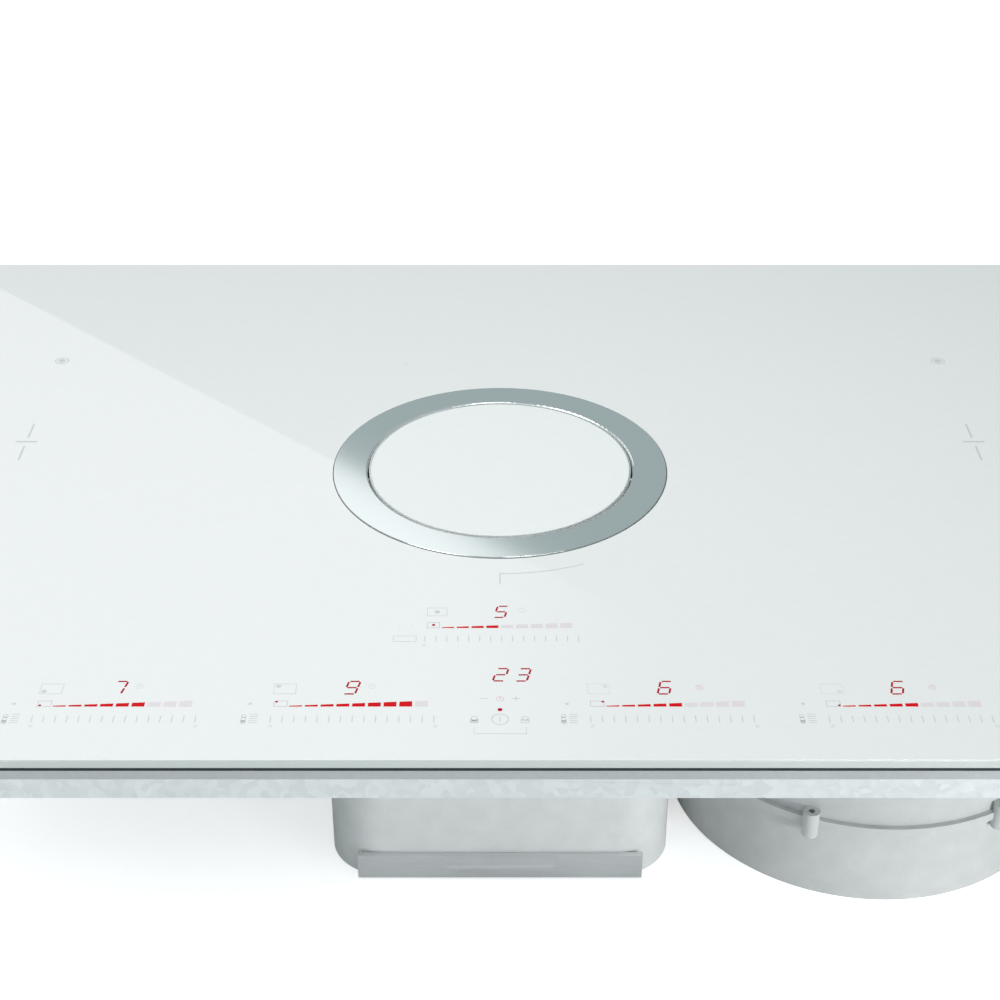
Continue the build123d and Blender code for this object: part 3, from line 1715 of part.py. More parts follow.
def terminal_cover():
    """Cover of the mains terminals, with a hole for the cable gland."""
    cover = hollow_cover(
        terminal_length,
        terminal_depth,
        terminal_height,
        terminal_round,
        terminal_wall,
        terminal_x,
        terminal_y,
    )
    back = terminal_y + terminal_depth / 2
    hole = rod_y(gland_bore_radius + gland_flange, back - 4 * terminal_wall, back, terminal_x, gland_z)
    return cover - hole


def cable_gland():
    """Cable gland in the back of the terminal cover, its bore open for the cable."""
    back = terminal_y + terminal_depth / 2
    inner_end = back - terminal_wall - gland_flange
    gland = rod_y(gland_radius, back, back + gland_flange, terminal_x, gland_z)
    gland += rod_y(gland_bore_radius + gland_flange, inner_end, back, terminal_x, gland_z)
    gland += rod_y(gland_nut_radius, back, back + gland_nut_length, terminal_x, gland_z)
    return gland - rod_y(gland_bore_radius, inner_end, back + gland_nut_length, terminal_x, gland_z)


def hood_control_box():
    """Closed box with the electronics of the extraction, with a lid and sockets."""
    low = casing_bottom - control_box_height
    box = slab(
        control_box_length,
        control_box_depth,
        low,
        casing_bottom,
        x=control_box_x,
        y=control_box_y,
        corner=control_box_round,
    )
    box = chamfer(box.faces().sort_by(Axis.Z)[0].edges(), terminal_wall)
    seam_low = low + control_box_lid
    seam_high = seam_low + control_box_seam
    seam_length = control_box_length - 2 * control_box_seam
    seam_depth = control_box_depth - 2 * control_box_seam
    corner = control_box_round - control_box_seam
    seam = slab(control_box_length, control_box_depth, seam_low, seam_high)
    seam -= slab(seam_length, seam_depth, seam_low, seam_high, corner=corner)
    box -= Pos(control_box_x, control_box_y, 0) * seam
    half_length = control_box_length / 2 - control_screw_inset
    half_depth = control_box_depth / 2 - control_screw_inset
    for x in (-half_length, half_length):
        for y in (-half_depth, half_depth):
            recess = disc(screw_head_radius, low, low + control_screw_depth)
            box -= Pos(control_box_x + x, control_box_y + y, 0) * recess
    for socket in range(socket_count):
        y = control_box_y + (socket - (socket_count - 1) / 2) * socket_pitch
        socket_low = seam_high + terminal_wall
        box -= slab(
            2 * socket_depth,
            socket_width,
            socket_low,
            socket_low + socket_height,
            x=control_box_right,
            y=y,
        )
    return box


# ---- Write the parts -----------------------------------------------------------------
os.makedirs("parts", exist_ok=True)

save("glass_top", glass_top())
save("worktop_gasket", worktop_gasket())
save("glass_frame", glass_frame())
save("lower_casing", lower_casing())
save("casing_screws", *casing_screws())
save("clamp_springs", *clamp_springs())

save("inlet_collar", inlet_collar())
save("collar_seal", collar_seal())
save("bezel_ring", bezel_ring())
save("pivot_bushes", *pivot_bushes())
save("flap_glass", flap_glass())
save("flap_rim", flap_rim())
save("flap_carrier", flap_carrier())
save("flap_pivot_pins", *flap_pivot_pins())

save("drive_shaft", drive_shaft())
save("shaft_bush", shaft_bush())
save("quadrant_gear", quadrant_gear())
save("motor_pinion", motor_pinion())
save("flap_motor", flap_motor())
save("motor_bracket", motor_bracket())

save("inlet_duct", *inlet_duct())
save("duct_seal", duct_seal())
save("filter_frame", *filter_frame())
save("filter_mesh", *filter_mesh())
save("filter_handle", filter_handle())

save("air_box", air_chamber(), air_channel())
save("air_box_seal", air_box_seal())
save("air_box_screws", *air_box_screws())
save("spill_tray", spill_tray())

save("scroll_housing", scroll_housing())
save("inlet_cone", inlet_cone())
save("impeller", impeller())
save("rotor_cup", rotor_cup())
save("fan_stator", fan_stator())
save("motor_shaft", motor_shaft())
save("motor_bearings", *motor_bearings())
save("motor_base", motor_base())
save("motor_grommets", *motor_grommets())
save("blower_hangers", *blower_hangers())
save("outlet_spigot", outlet_spigot())

save("coil_windings", *coil_windings())
save("coil_carriers", *coil_carriers())
save("mica_sheets", *mica_sheets())
save("ferrite_bars", *ferrite_bars())
save("temperature_sensors", *temperature_sensors())
save("coil_trays", *coil_trays())
save("tray_posts", *tray_posts())

save("power_boards", *power_boards())
save("heat_sinks", *heat_sinks())
save("board_components", *board_components())
save("fan_frames", *fan_frames())
save("fan_rotor_left", fan_rotor(-1))
save("fan_rotor_right", fan_rotor(1))

save("ui_board", ui_board())
save("ui_displays", *ui_displays())
save("ui_carrier", ui_carrier())

save("terminal_block", terminal_block())
save("terminal_cover", terminal_cover())
save("cable_gland", cable_gland())
save("hood_control_box", hood_control_box())
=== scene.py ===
import bmesh
import bpy
from math import atan2, cos, hypot, pi, radians, sin
from mathutils import Matrix, Vector


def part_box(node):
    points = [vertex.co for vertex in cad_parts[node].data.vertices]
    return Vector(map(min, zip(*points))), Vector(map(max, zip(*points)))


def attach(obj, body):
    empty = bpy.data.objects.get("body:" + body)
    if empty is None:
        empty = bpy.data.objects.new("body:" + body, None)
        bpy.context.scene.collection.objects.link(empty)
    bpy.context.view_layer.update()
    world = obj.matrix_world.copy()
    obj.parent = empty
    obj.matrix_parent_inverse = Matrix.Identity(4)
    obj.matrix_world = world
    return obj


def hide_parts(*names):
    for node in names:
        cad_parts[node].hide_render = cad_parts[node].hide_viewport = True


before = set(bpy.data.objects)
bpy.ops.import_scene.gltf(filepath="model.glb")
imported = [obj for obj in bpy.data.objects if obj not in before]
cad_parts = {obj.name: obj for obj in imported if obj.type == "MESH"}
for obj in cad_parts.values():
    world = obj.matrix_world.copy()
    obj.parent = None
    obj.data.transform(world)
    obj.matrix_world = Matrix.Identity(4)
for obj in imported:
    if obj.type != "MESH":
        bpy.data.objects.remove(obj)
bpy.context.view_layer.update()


# ---- Studio ---------------------------------------------------------------------------
# A pale floor in a plain grey room, dark along its sides, photographed from the front and
# a little above. A large soft panel behind the hob shows in the glass. A key lamp stands
# at the left, a small one hangs over the middle, and two light the front edge.
camera_place = (0.0, -0.8728, 0.7181)
camera_tilt = radians(58.458)
camera_lens = 66.27
camera_near = 0.05

bpy.ops.object.select_all(action="DESELECT")
bpy.ops.object.camera_add(location=camera_place, rotation=(camera_tilt, 0.0, 0.0))
camera = bpy.context.object
camera.data.lens = camera_lens
camera.data.clip_start = camera_near
bpy.context.scene.camera = camera
bpy.context.scene.view_settings.view_transform = "Standard"


def hang_lamp(name, place, along, up, size, power):
    """A rectangular soft lamp whose long side lies along one direction."""
    bpy.ops.object.light_add(type="AREA", location=place)
    lamp = bpy.context.object
    lamp.name = name
    lamp.data.shape = "RECTANGLE"
    lamp.data.size, lamp.data.size_y = size
    lamp.data.energy = power
    facing = Matrix((along, up, along.cross(up))).transposed()
    lamp.rotation_euler = facing.to_euler()
    return lamp


def aim_lamp(name, place, target, size, power):
    """A rectangular soft lamp that faces a point, with its long side level."""
    back = (Vector(place) - Vector(target)).normalized()
    along = Vector((0.0, 0.0, 1.0)).cross(back).normalized()
    hang_lamp(name, place, along, back.cross(along), size, power)


def node(tree, kind, operation=None, **values):
    """A new node in a tree, with its operation and its named or numbered inputs set."""
    made = tree.nodes.new("ShaderNode" + kind)
    if operation:
        made.operation = operation
    for socket, value in values.items():
        numbered = socket[0] == "i" and socket[1:].isdigit()
        key = int(socket[1:]) if numbered else socket.replace("_", " ")
        made.inputs[key].default_value = value
    return made


def smooth_step(tree, low, high):
    """A node that rises smoothly from 0 to 1 between two values."""
    step = node(tree, "MapRange", From_Min=low, From_Max=high)
    step.interpolation_type = "SMOOTHSTEP"
    return step


def colour_mix(tree, **colours):
    """A node that turns its input 6 into its input 7 by the factor in input 0."""
    mix = node(tree, "Mix")
    mix.data_type = "RGBA"
    for socket, colour in colours.items():
        mix.inputs[int(socket[1:])].default_value = (*colour, 1.0)
    return mix


def link(tree, *pairs):
    """Joins sockets in a node tree, pair by pair."""
    for start, end in pairs:
        tree.links.new(start, end)


panel_size = (3.4, 1.6)
panel_edge_middle = Vector((-0.245, 1.711, 1.227))
panel_along = Vector((-0.888, 0.2405, -0.3915)).normalized()
panel_up = Vector((-0.459, -0.505, 0.731)).normalized()
panel_shift = 0.6
panel_power = 12.5
panel_colour = (1.0, 0.945, 0.945)
panel_centre = panel_edge_middle + panel_up * panel_size[1] / 2 + panel_shift * panel_along
panel = hang_lamp(
    "rear_panel", panel_centre, panel_along, panel_up, panel_size, panel_power
)
panel.data.color = panel_colour
panel.data.use_nodes = True

# The panel grows dimmer towards its right end, so that its edge in the glass fades out.
panel_slope = 0.4
panel_fade_range = (-0.62, -0.15)
fade_along = panel_along + panel_slope * panel_up
fade_start, fade_end = (
    place + panel_edge_middle.dot(fade_along) for place in panel_fade_range
)
panel_tree = panel.data.node_tree
panel_point = node(panel_tree, "NewGeometry")
panel_run = node(panel_tree, "VectorMath", "DOT_PRODUCT", i1=fade_along)
panel_fade = smooth_step(panel_tree, fade_start, fade_end)
link(
    panel_tree,
    (panel_point.outputs["Position"], panel_run.inputs[0]),
    (panel_run.outputs["Value"], panel_fade.inputs["Value"]),
    (panel_fade.outputs[0], panel_tree.nodes["Emission"].inputs["Strength"]),
)

for name, place, target, size, power in (
    ("key_lamp", (-1.5, -1.3, 2.2), (0.0, 0.0, 0.2), (1.5, 1.5), 38.5),
    ("arris_lamp", (0.75, -1.55, 1.75), (0.2, -0.26, 0.2), (1.3, 0.22), 7.6),
    ("middle_lamp", (0.06, 0.0, 0.78), (0.06, 0.01, 0.2), (0.1, 0.1), 0.29),
    ("edge_lamp", (0.85, -0.85, 0.14), (0.34, -0.26, 0.19), (0.25, 0.08), 5.5),
):
    aim_lamp(name, place, target, size, power)

room_colour = (0.40, 0.465, 0.47)
side_colour = (0.03, 0.035, 0.036)
side_range = (0.25, 0.60)
side_height_range = (0.40, 0.20)
white = (1.0, 1.0, 1.0, 1.0)

world = bpy.data.worlds.new("studio_room")
world.use_nodes = True
bpy.context.scene.world = world
room = world.node_tree
room_light = room.nodes["Background"]
direction = node(room, "TexCoord")
direction_parts = node(room, "SeparateXYZ")
sideways = node(room, "Math", "ABSOLUTE")
side_amount = smooth_step(room, *side_range)
low_amount = smooth_step(room, *side_height_range)
dark_amount = node(room, "Math", "MULTIPLY")
room_paint = colour_mix(room, i6=room_colour, i7=side_colour)
backdrop = node(room, "Background", Color=white)
seen_by = node(room, "LightPath")
room_choice = node(room, "MixShader")
link(
    room,
    (direction.outputs["Generated"], direction_parts.inputs[0]),
    (direction_parts.outputs["X"], sideways.inputs[0]),
    (sideways.outputs[0], side_amount.inputs["Value"]),
    (direction_parts.outputs["Z"], low_amount.inputs["Value"]),
    (side_amount.outputs[0], dark_amount.inputs[0]),
    (low_amount.outputs[0], dark_amount.inputs[1]),
    (dark_amount.outputs[0], room_paint.inputs[0]),
    (room_paint.outputs[2], room_light.inputs["Color"]),
    (seen_by.outputs["Is Camera Ray"], room_choice.inputs[0]),
    (room_light.outputs[0], room_choice.inputs[1]),
    (backdrop.outputs[0], room_choice.inputs[2]),
    (room_choice.outputs[0], room.nodes["World Output"].inputs["Surface"]),
)


def plain_finish(name, colour, roughness, metallic=0.0):
    """A new material with one Principled shader, set to the finish's own values."""
    finish = bpy.data.materials.new(name)
    finish.use_nodes = True
    shader = finish.node_tree.nodes["Principled BSDF"]
    shader.inputs["Base Color"].default_value = (*colour, 1.0)
    shader.inputs["Roughness"].default_value = roughness
    shader.inputs["Metallic"].default_value = metallic
    return finish


floor_size = 14.0
floor_colour = (0.86, 0.87, 0.87)
floor_roughness = 0.7
floor_specular = 0.2
floor_glow = 0.55
bpy.ops.mesh.primitive_plane_add(size=floor_size)
floor = bpy.context.object
floor.name = "studio_floor"
floor_paint = plain_finish("floor_paint", floor_colour, floor_roughness)
floor_tree = floor_paint.node_tree
floor_shader = floor_tree.nodes["Principled BSDF"]
floor_shader.inputs["Specular IOR Level"].default_value = floor_specular
floor_shader.inputs["Emission Color"].default_value = white
floor_seen = node(floor_tree, "LightPath")
floor_lift = node(floor_tree, "Math", "MULTIPLY", i1=floor_glow)
link(
    floor_tree,
    (floor_seen.outputs["Is Camera Ray"], floor_lift.inputs[0]),
    (floor_lift.outputs[0], floor_shader.inputs["Emission Strength"]),
)
floor.data.materials.append(floor_paint)


# ---- Glass ----------------------------------------------------------------------------
# One sheet of 4 mm glass ceramic, coated white on its back so that it looks like milk,
# with a polished face and finely ground edges. It is glued to the steel frame below.
mm = 0.001
glass_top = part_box("glass_top")[1].z
glass_white = (0.839, 0.839, 0.829)
glass_edge_green = (0.475, 0.51, 0.505)
glass_face_roughness = 0.02
glass_edge_roughness = 0.22
glass_index = 1.5
glass_edge_depth = 0.1 * mm


def dress(finish, *names):
    """Gives a finish to CAD nodes in place of the one they came with."""
    for name in names:
        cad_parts[name].data.materials[0] = finish


def effect_group(name, inputs, outputs):
    """An empty shader group with the named sockets, as (group, its input, its output)."""
    group = bpy.data.node_groups.new(name, "ShaderNodeTree")
    for socket, kind in inputs.items():
        group.interface.new_socket(socket, in_out="INPUT", socket_type="NodeSocket" + kind)
    for socket, kind in outputs.items():
        group.interface.new_socket(socket, in_out="OUTPUT", socket_type="NodeSocket" + kind)
    return group, group.nodes.new("NodeGroupInput"), group.nodes.new("NodeGroupOutput")


def lay_effect(finish, group, settings, **joins):
    """Places a group in a finish, reading the object's own space, and joins its outputs."""
    tree = finish.node_tree
    effect = node(tree, "Group")
    effect.node_tree = group
    space = node(tree, "TexCoord")
    tree.links.new(space.outputs["Object"], effect.inputs["Place"])
    for socket, value in settings.items():
        effect.inputs[socket].default_value = value
    for output, socket in joins.items():
        shader_socket = tree.nodes["Principled BSDF"].inputs[socket.replace("_", " ")]
        tree.links.new(effect.outputs[output], shader_socket)
    return effect


# Fine grain: a soft mottle in colour and roughness with a shallow bump, which a stretch
# along one axis turns into drawn or brushed lines.
grain, grain_in, grain_out = effect_group(
    "fine_grain",
    {
        "Place": "Vector",
        "Stretch": "Vector",
        "Scale": "Float",
        "Light": "Color",
        "Dark": "Color",
        "Smooth": "Float",
        "Rough": "Float",
        "Height": "Float",
    },
    {"Colour": "Color", "Roughness": "Float", "Normal": "Vector"},
)
stretched = node(grain, "VectorMath", "MULTIPLY")
speckle = node(grain, "TexNoise", Detail=3.0, Roughness=0.6)
cloud_scale = node(grain, "Math", "MULTIPLY", i1=0.06)
cloud = node(grain, "TexNoise", Detail=2.0)
blended = node(grain, "Math", "ADD")
halved = node(grain, "Math", "MULTIPLY", i1=0.5)
sharpened = node(grain, "MapRange", From_Min=0.35, From_Max=0.65)
tinted = colour_mix(grain)
spread = node(grain, "MapRange")
dents = node(grain, "Bump", Strength=0.5)
link(
    grain,
    (grain_in.outputs["Place"], stretched.inputs[0]),
    (grain_in.outputs["Stretch"], stretched.inputs[1]),
    (stretched.outputs[0], speckle.inputs["Vector"]),
    (stretched.outputs[0], cloud.inputs["Vector"]),
    (grain_in.outputs["Scale"], speckle.inputs["Scale"]),
    (grain_in.outputs["Scale"], cloud_scale.inputs[0]),
    (cloud_scale.outputs[0], cloud.inputs["Scale"]),
    (speckle.outputs[0], blended.inputs[0]),
    (cloud.outputs[0], blended.inputs[1]),
    (blended.outputs[0], halved.inputs[0]),
    (halved.outputs[0], sharpened.inputs["Value"]),
    (sharpened.outputs[0], tinted.inputs[0]),
    (grain_in.outputs["Dark"], tinted.inputs[6]),
    (grain_in.outputs["Light"], tinted.inputs[7]),
    (tinted.outputs[2], grain_out.inputs["Colour"]),
    (sharpened.outputs[0], spread.inputs["Value"]),
    (grain_in.outputs["Smooth"], spread.inputs["To Min"]),
    (grain_in.outputs["Rough"], spread.inputs["To Max"]),
    (spread.outputs[0], grain_out.inputs["Roughness"]),
    (speckle.outputs[0], dents.inputs["Height"]),
    (grain_in.outputs["Height"], dents.inputs["Distance"]),
    (dents.outputs[0], grain_out.inputs["Normal"]),
)


def grained(
    name, colour, roughness, scale, vary=0.06, height=0.0, metallic=0.0, stretch=(1, 1, 1)
):
    """A finish whose colour and roughness vary a little about the values given."""
    finish = plain_finish(name, colour, roughness, metallic)
    settings = {
        "Stretch": stretch,
        "Scale": scale,
        "Light": (*[min(1.0, c * (1 + vary)) for c in colour], 1.0),
        "Dark": (*[c * (1 - vary) for c in colour], 1.0),
        "Smooth": roughness * (1 - 2 * vary),
        "Rough": min(1.0, roughness * (1 + 3 * vary)),
        "Height": height,
    }
    joins = {"Colour": "Base_Color", "Roughness": "Roughness"}
    if height:
        joins["Normal"] = "Normal"
    lay_effect(finish, grain, settings, **joins)
    return finish


# The ground edge: below the arris, glass turns from the face's finish to the edge's.
edge, edge_in, edge_out = effect_group(
    "ground_edge",
    {
        "Place": "Vector",
        "Arris": "Float",
        "Face": "Color",
        "Edge": "Color",
        "Face Roughness": "Float",
        "Edge Roughness": "Float",
    },
    {"Colour": "Color", "Roughness": "Float"},
)
split = node(edge, "SeparateXYZ")
below = node(edge, "Math", "LESS_THAN")
edge_noise = node(edge, "TexNoise", Scale=180.0, Detail=2.0)
edge_tint = colour_mix(edge)
edge_polish = node(edge, "Mix")
milk = node(edge, "MapRange", To_Min=0.985, To_Max=1.015)
shade = node(edge, "VectorMath", "SCALE")
link(
    edge,
    (edge_in.outputs["Place"], split.inputs[0]),
    (edge_in.outputs["Place"], edge_noise.inputs["Vector"]),
    (split.outputs["Z"], below.inputs[0]),
    (edge_in.outputs["Arris"], below.inputs[1]),
    (below.outputs[0], edge_tint.inputs[0]),
    (edge_in.outputs["Face"], edge_tint.inputs[6]),
    (edge_in.outputs["Edge"], edge_tint.inputs[7]),
    (edge_tint.outputs[2], shade.inputs[0]),
    (edge_noise.outputs[0], milk.inputs["Value"]),
    (milk.outputs[0], shade.inputs["Scale"]),
    (shade.outputs[0], edge_out.inputs["Colour"]),
    (below.outputs[0], edge_polish.inputs[0]),
    (edge_in.outputs["Face Roughness"], edge_polish.inputs[2]),
    (edge_in.outputs["Edge Roughness"], edge_polish.inputs[3]),
    (edge_polish.outputs[0], edge_out.inputs["Roughness"]),
)


def white_glass(name, face, edge_colour, face_roughness, arris):
    """White-backed glass with a ground edge below the given height."""
    finish = plain_finish(name, face, face_roughness)
    settings = {
        "Arris": arris,
        "Face": (*face, 1.0),
        "Edge": (*edge_colour, 1.0),
        "Face Roughness": face_roughness,
        "Edge Roughness": glass_edge_roughness,
    }
    lay_effect(finish, edge, settings, Colour="Base_Color", Roughness="Roughness")
    finish.node_tree.nodes["Principled BSDF"].inputs["IOR"].default_value = glass_index
    return finish


glass_finish = white_glass(
    "milk_glass",
    glass_white,
    glass_edge_green,
    glass_face_roughness,
    glass_top - glass_edge_depth,
)
dress(glass_finish, "glass_top")


# ---- Printed scales and marks ---------------------------------------------------------
# Pale grey ceramic ink on the glass: a tick scale and small symbols for each of the four
# zones and the hood, the timer keys, and a mark in the middle of each cooking zone.
ink_gap = 0.02 * mm
ink_height = 0.03 * mm
ink_z = glass_top + ink_gap
ink_grey = (0.59, 0.63, 0.625)
faint_grey = (0.70, 0.73, 0.72)
line_width = 0.32
thin_line = 0.25
hair_line = 0.13


def blank_print(name):
    """Starts a printed piece: an empty mesh in edit mode, ready for its marks."""
    bpy.ops.object.select_all(action="DESELECT")
    sheet = bpy.data.objects.new(name, bpy.data.meshes.new(name))
    bpy.context.collection.objects.link(sheet)
    bpy.context.view_layer.objects.active = sheet
    sheet.select_set(True)
    bpy.ops.object.mode_set(mode="EDIT")
    return sheet


def add_patch(x, y, length, width, turn=0.0):
    """Lays a rectangle of ink; sizes are in millimetres on the glass."""
    centre = (x * mm, y * mm, ink_z)
    bpy.ops.mesh.primitive_plane_add(size=1.0, location=centre)
    bpy.ops.transform.resize(value=(length * mm, width * mm, 1.0), center_override=centre)
    if turn:
        bpy.ops.transform.rotate(value=-turn, orient_axis="Z", center_override=centre)


def add_stroke(start, end, width=line_width):
    """Lays a straight line of ink between two points."""
    run, rise = end[0] - start[0], end[1] - start[1]
    middle = ((start[0] + end[0]) / 2, (start[1] + end[1]) / 2)
    add_patch(*middle, hypot(run, rise), width, atan2(rise, run))


def add_outline(left, low, right, high, width=line_width):
    """Lays a rectangle's outline, opened from a patch by an inset."""
    add_patch((left + right) / 2, (low + high) / 2, right - left, high - low)
    bpy.ops.mesh.inset(thickness=width * mm)
    bpy.ops.mesh.delete(type="FACE")


def add_dot(x, y, radius, sides=24):
    """Lays a round dot of ink."""
    bpy.ops.mesh.primitive_circle_add(
        vertices=sides,
        radius=radius * mm,
        fill_type="NGON",
        location=(x * mm, y * mm, ink_z),
    )


def add_hoop(x, y, radius, width=line_width, sides=32):
    """Lays a ring of ink, opened from a dot by an inset."""
    add_dot(x, y, radius, sides)
    bpy.ops.mesh.inset(thickness=width * mm)
    bpy.ops.mesh.delete(type="FACE")


def choose_corners(piece, test):
    """Selects the corners of the open mesh that pass a test, and no others."""
    shape = bmesh.from_edit_mesh(piece.data)
    for corner in shape.verts:
        corner.select = test(corner)
    shape.select_mode = {"VERT"}
    shape.select_flush_mode()
    bmesh.update_edit_mesh(piece.data)


def choose_faces(piece, test):
    """Selects the faces of the open mesh that pass a test, and no others."""
    shape = bmesh.from_edit_mesh(piece.data)
    for face in shape.faces:
        face.select = test(face)
    bmesh.update_edit_mesh(piece.data)


def finish_print(sheet, finish, body="housing", height=ink_height):
    """Gives the marks their thickness and finish, and fixes them to a body."""
    bpy.ops.mesh.select_all(action="SELECT")
    bpy.ops.mesh.extrude_region_move(
        TRANSFORM_OT_translate={"value": (0.0, 0.0, height)}
    )
    bpy.ops.mesh.select_all(action="SELECT")
    bpy.ops.mesh.normals_make_consistent(inside=False)
    bpy.ops.object.mode_set(mode="OBJECT")
    sheet.data.materials.append(finish)
    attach(sheet, body)


def copy_piece(piece, name, shift):
    """Copies a finished piece with its own mesh, moved by a shift in its vertices."""
    twin = piece.copy()
    twin.data = piece.data.copy()
    twin.name = name
    twin.data.transform(Matrix.Translation(shift))
    bpy.context.collection.objects.link(twin)
    return twin


def add_clock(x, y, radius, width):
    """Lays a small clock face with two hands."""
    add_hoop(x, y, radius, width)
    add_stroke((x, y), (x, y + 0.65 * radius), width)
    add_stroke((x, y), (x + 0.45 * radius, y), width)


ink_finish = grained("grey_ink", ink_grey, 0.3, 900.0, vary=0.04)
faint_ink_finish = grained("faint_ink", faint_grey, 0.3, 900.0, vary=0.03)

# Each zone's number, its shift from the first one, and its corner of the hob: -1 or 1 for
# left or right, and for front or back. All places and widths of ink are in millimetres.
zone_step = 105.7
right_zones = 247.6
zones = (
    (1, 0.0, -1, -1),
    (2, zone_step, -1, 1),
    (3, right_zones, 1, 1),
    (4, right_zones + zone_step, 1, -1),
)

tick_count = 15
tick_pitch = 5.17
tick_width = 0.4
end_ring_radius = 0.8


def add_ticks(first, low, high):
    """Lays a row of upright ticks from the first one to the right."""
    for tick in range(tick_count):
        x = first + tick_pitch * tick
        add_stroke((x, low), (x, high), tick_width)


# A zone's scale, with a probe and a list symbol at its left and a star above them.
probe_x, list_left, list_right, list_top = -219.4, -216.9, -213.2, -225.4
star_x, star_y, star_reach, star_width = -217.6, -217.9, 1.2, 0.2
scale_1 = blank_print("zone_scale_1")
add_ticks(-207.4, -231.1, -226.4)
for x in (-206.8, -134.2):
    add_hoop(x, -233.9, end_ring_radius, 0.2, 12)
add_hoop(probe_x, -226.6, 1.2, 0.3, 20)
add_outline(probe_x - 1.0, -230.4, probe_x + 1.0, -227.4, 0.3)
add_dot(probe_x, -230.9, 1.3, 20)
for row in range(5):
    y = list_top - 1.5 * row
    add_stroke((list_left, y), (list_right, y))
for turn in (0, 60, 120):
    reach_x, reach_y = star_reach * cos(radians(turn)), star_reach * sin(radians(turn))
    add_stroke(
        (star_x - reach_x, star_y - reach_y),
        (star_x + reach_x, star_y + reach_y),
        star_width,
    )
finish_print(scale_1, ink_finish)
for number, shift, _, _ in zones[1:]:
    copy_piece(scale_1, f"zone_scale_{number}", (shift * mm, 0.0, 0.0))

# The small plan of the hob in each zone's row, with a dot in the zone's own corner. The
# left zones have a grey clock as well; the right ones have a lit clock and fainter plans.
clock_radius = 1.7
for number, shift, side, row in zones:
    plan = blank_print(f"zone_plan_{number}")
    add_outline(-208.1 + shift, -210.7, -197.9 + shift, -203.1, thin_line)
    add_dot(-203.0 + side * 3.1 + shift, -206.9 + row * 1.9, 1.15)
    if side < 0:
        add_clock(-163.6 + shift, -205.0, clock_radius, hair_line)
    finish_print(plan, ink_finish if side < 0 else faint_ink_finish)

# The hood's scale: ticks, its plan with a dot, a bar and three marks at its left.
hood_left = -35.4
hood_scale = blank_print("hood_scale")
add_ticks(hood_left, -170.4, -165.9)
add_hoop(hood_left, -173.4, end_ring_radius, 0.2, 12)
add_outline(-35.0, -149.7, -25.4, -142.9, thin_line)
add_dot(-30.2, -146.3, 1.3)
add_outline(-50.3, -170.6, -39.4, -165.9, thin_line)
for x in (-47.7, -44.9, -42.1):
    add_stroke((x, -158.8), (x, -157.4), thin_line)
add_hoop(10.6, -145.2, clock_radius, hair_line)
finish_print(hood_scale, ink_finish)

# Minus and plus for the timer, the power key, a key lock and a pause, and a bracket.
timer_y, power_y = -213.9, -228.9
lock_x, pause_x, key_loop_y, key_body_y = -11.4, 11.1, -228.4, -230.4
bracket_right, bracket_top, bracket_low = 11.7, -234.6, -239.1
keys = blank_print("timer_and_power_keys")
add_stroke((-9.3, timer_y), (-5.4, timer_y), 0.3)
add_stroke((5.2, timer_y), (9.1, timer_y), 0.3)
add_stroke((7.15, timer_y - 1.7), (7.15, timer_y + 1.7), 0.3)
add_hoop(0.0, power_y, 3.9, 0.4, 40)
add_stroke((0.0, power_y - 1.9), (0.0, power_y + 2.0), 0.4)
add_hoop(lock_x, key_loop_y, 1.6, 0.35, 24)
add_patch(lock_x, key_body_y, 3.8, 2.4)
add_hoop(pause_x, key_loop_y, 1.6, 0.35, 24)
add_outline(pause_x - 1.9, key_body_y - 1.2, pause_x + 1.9, key_body_y + 1.2, 0.35)
add_stroke((lock_x, bracket_top), (lock_x, bracket_low), 0.2)
add_stroke((bracket_right, bracket_top), (bracket_right, bracket_low), 0.2)
add_stroke((lock_x, bracket_low), (bracket_right, bracket_low), thin_line)
finish_print(keys, ink_finish)

# A line leads from the hood's scale to the opening and bends round it.
opening_centre = (0.0, -9.0)
lead_start = -122.0
lead_radius = 104.3
lead_angle = radians(23.4)
lead_width = 0.6
lead_turn_y = opening_centre[1] - lead_radius
hood_lead = blank_print("hood_lead_line")
add_stroke((0.0, lead_start), (0.0, lead_turn_y), lead_width)
add_patch(lead_width / 2, lead_turn_y, lead_width, lead_width)
choose_corners(
    hood_lead, lambda corner: corner.select and corner.co.x > lead_width / 2 * mm
)
bpy.ops.mesh.spin(
    steps=16,
    angle=-lead_angle,
    center=(0.0, opening_centre[1] * mm, ink_z),
    axis=(0.0, 0.0, 1.0),
)
finish_print(hood_lead, ink_finish)

# A ring and dot for the back zones, and a cross that parts the zones of each side.
zone_marks = blank_print("zone_middle_marks")
for x in (-264.0, 264.0):
    add_hoop(x, 117.0, 4.2, 0.7, 32)
    add_dot(x, 117.0, 2.2, 20)
    add_stroke((x, 23.5), (x, 39.2), 1.0)
    add_stroke((x, -1.5), (x, 13.8), 1.0)
    add_stroke((x - 6.0, 18.8), (x + 6.0, 18.8), 1.3)
add_dot(-56.7, 113.5, 0.7)
finish_print(zone_marks, ink_finish)


# ---- Lit bars and figures -------------------------------------------------------------
# Red light-emitting displays under the glass show as nine rising bars for each slider,
# slanted seven-stroke figures and small dots; the bars that are off stay a pale lilac.
lit_red = (0.66, 0.004, 0.008)
lit_crimson = (0.42, 0.005, 0.028)
unlit_red = (0.05, 0.002, 0.003)
off_lilac = (0.78, 0.70, 0.74)
lit_strength = 0.9
lit_specular = 0.05


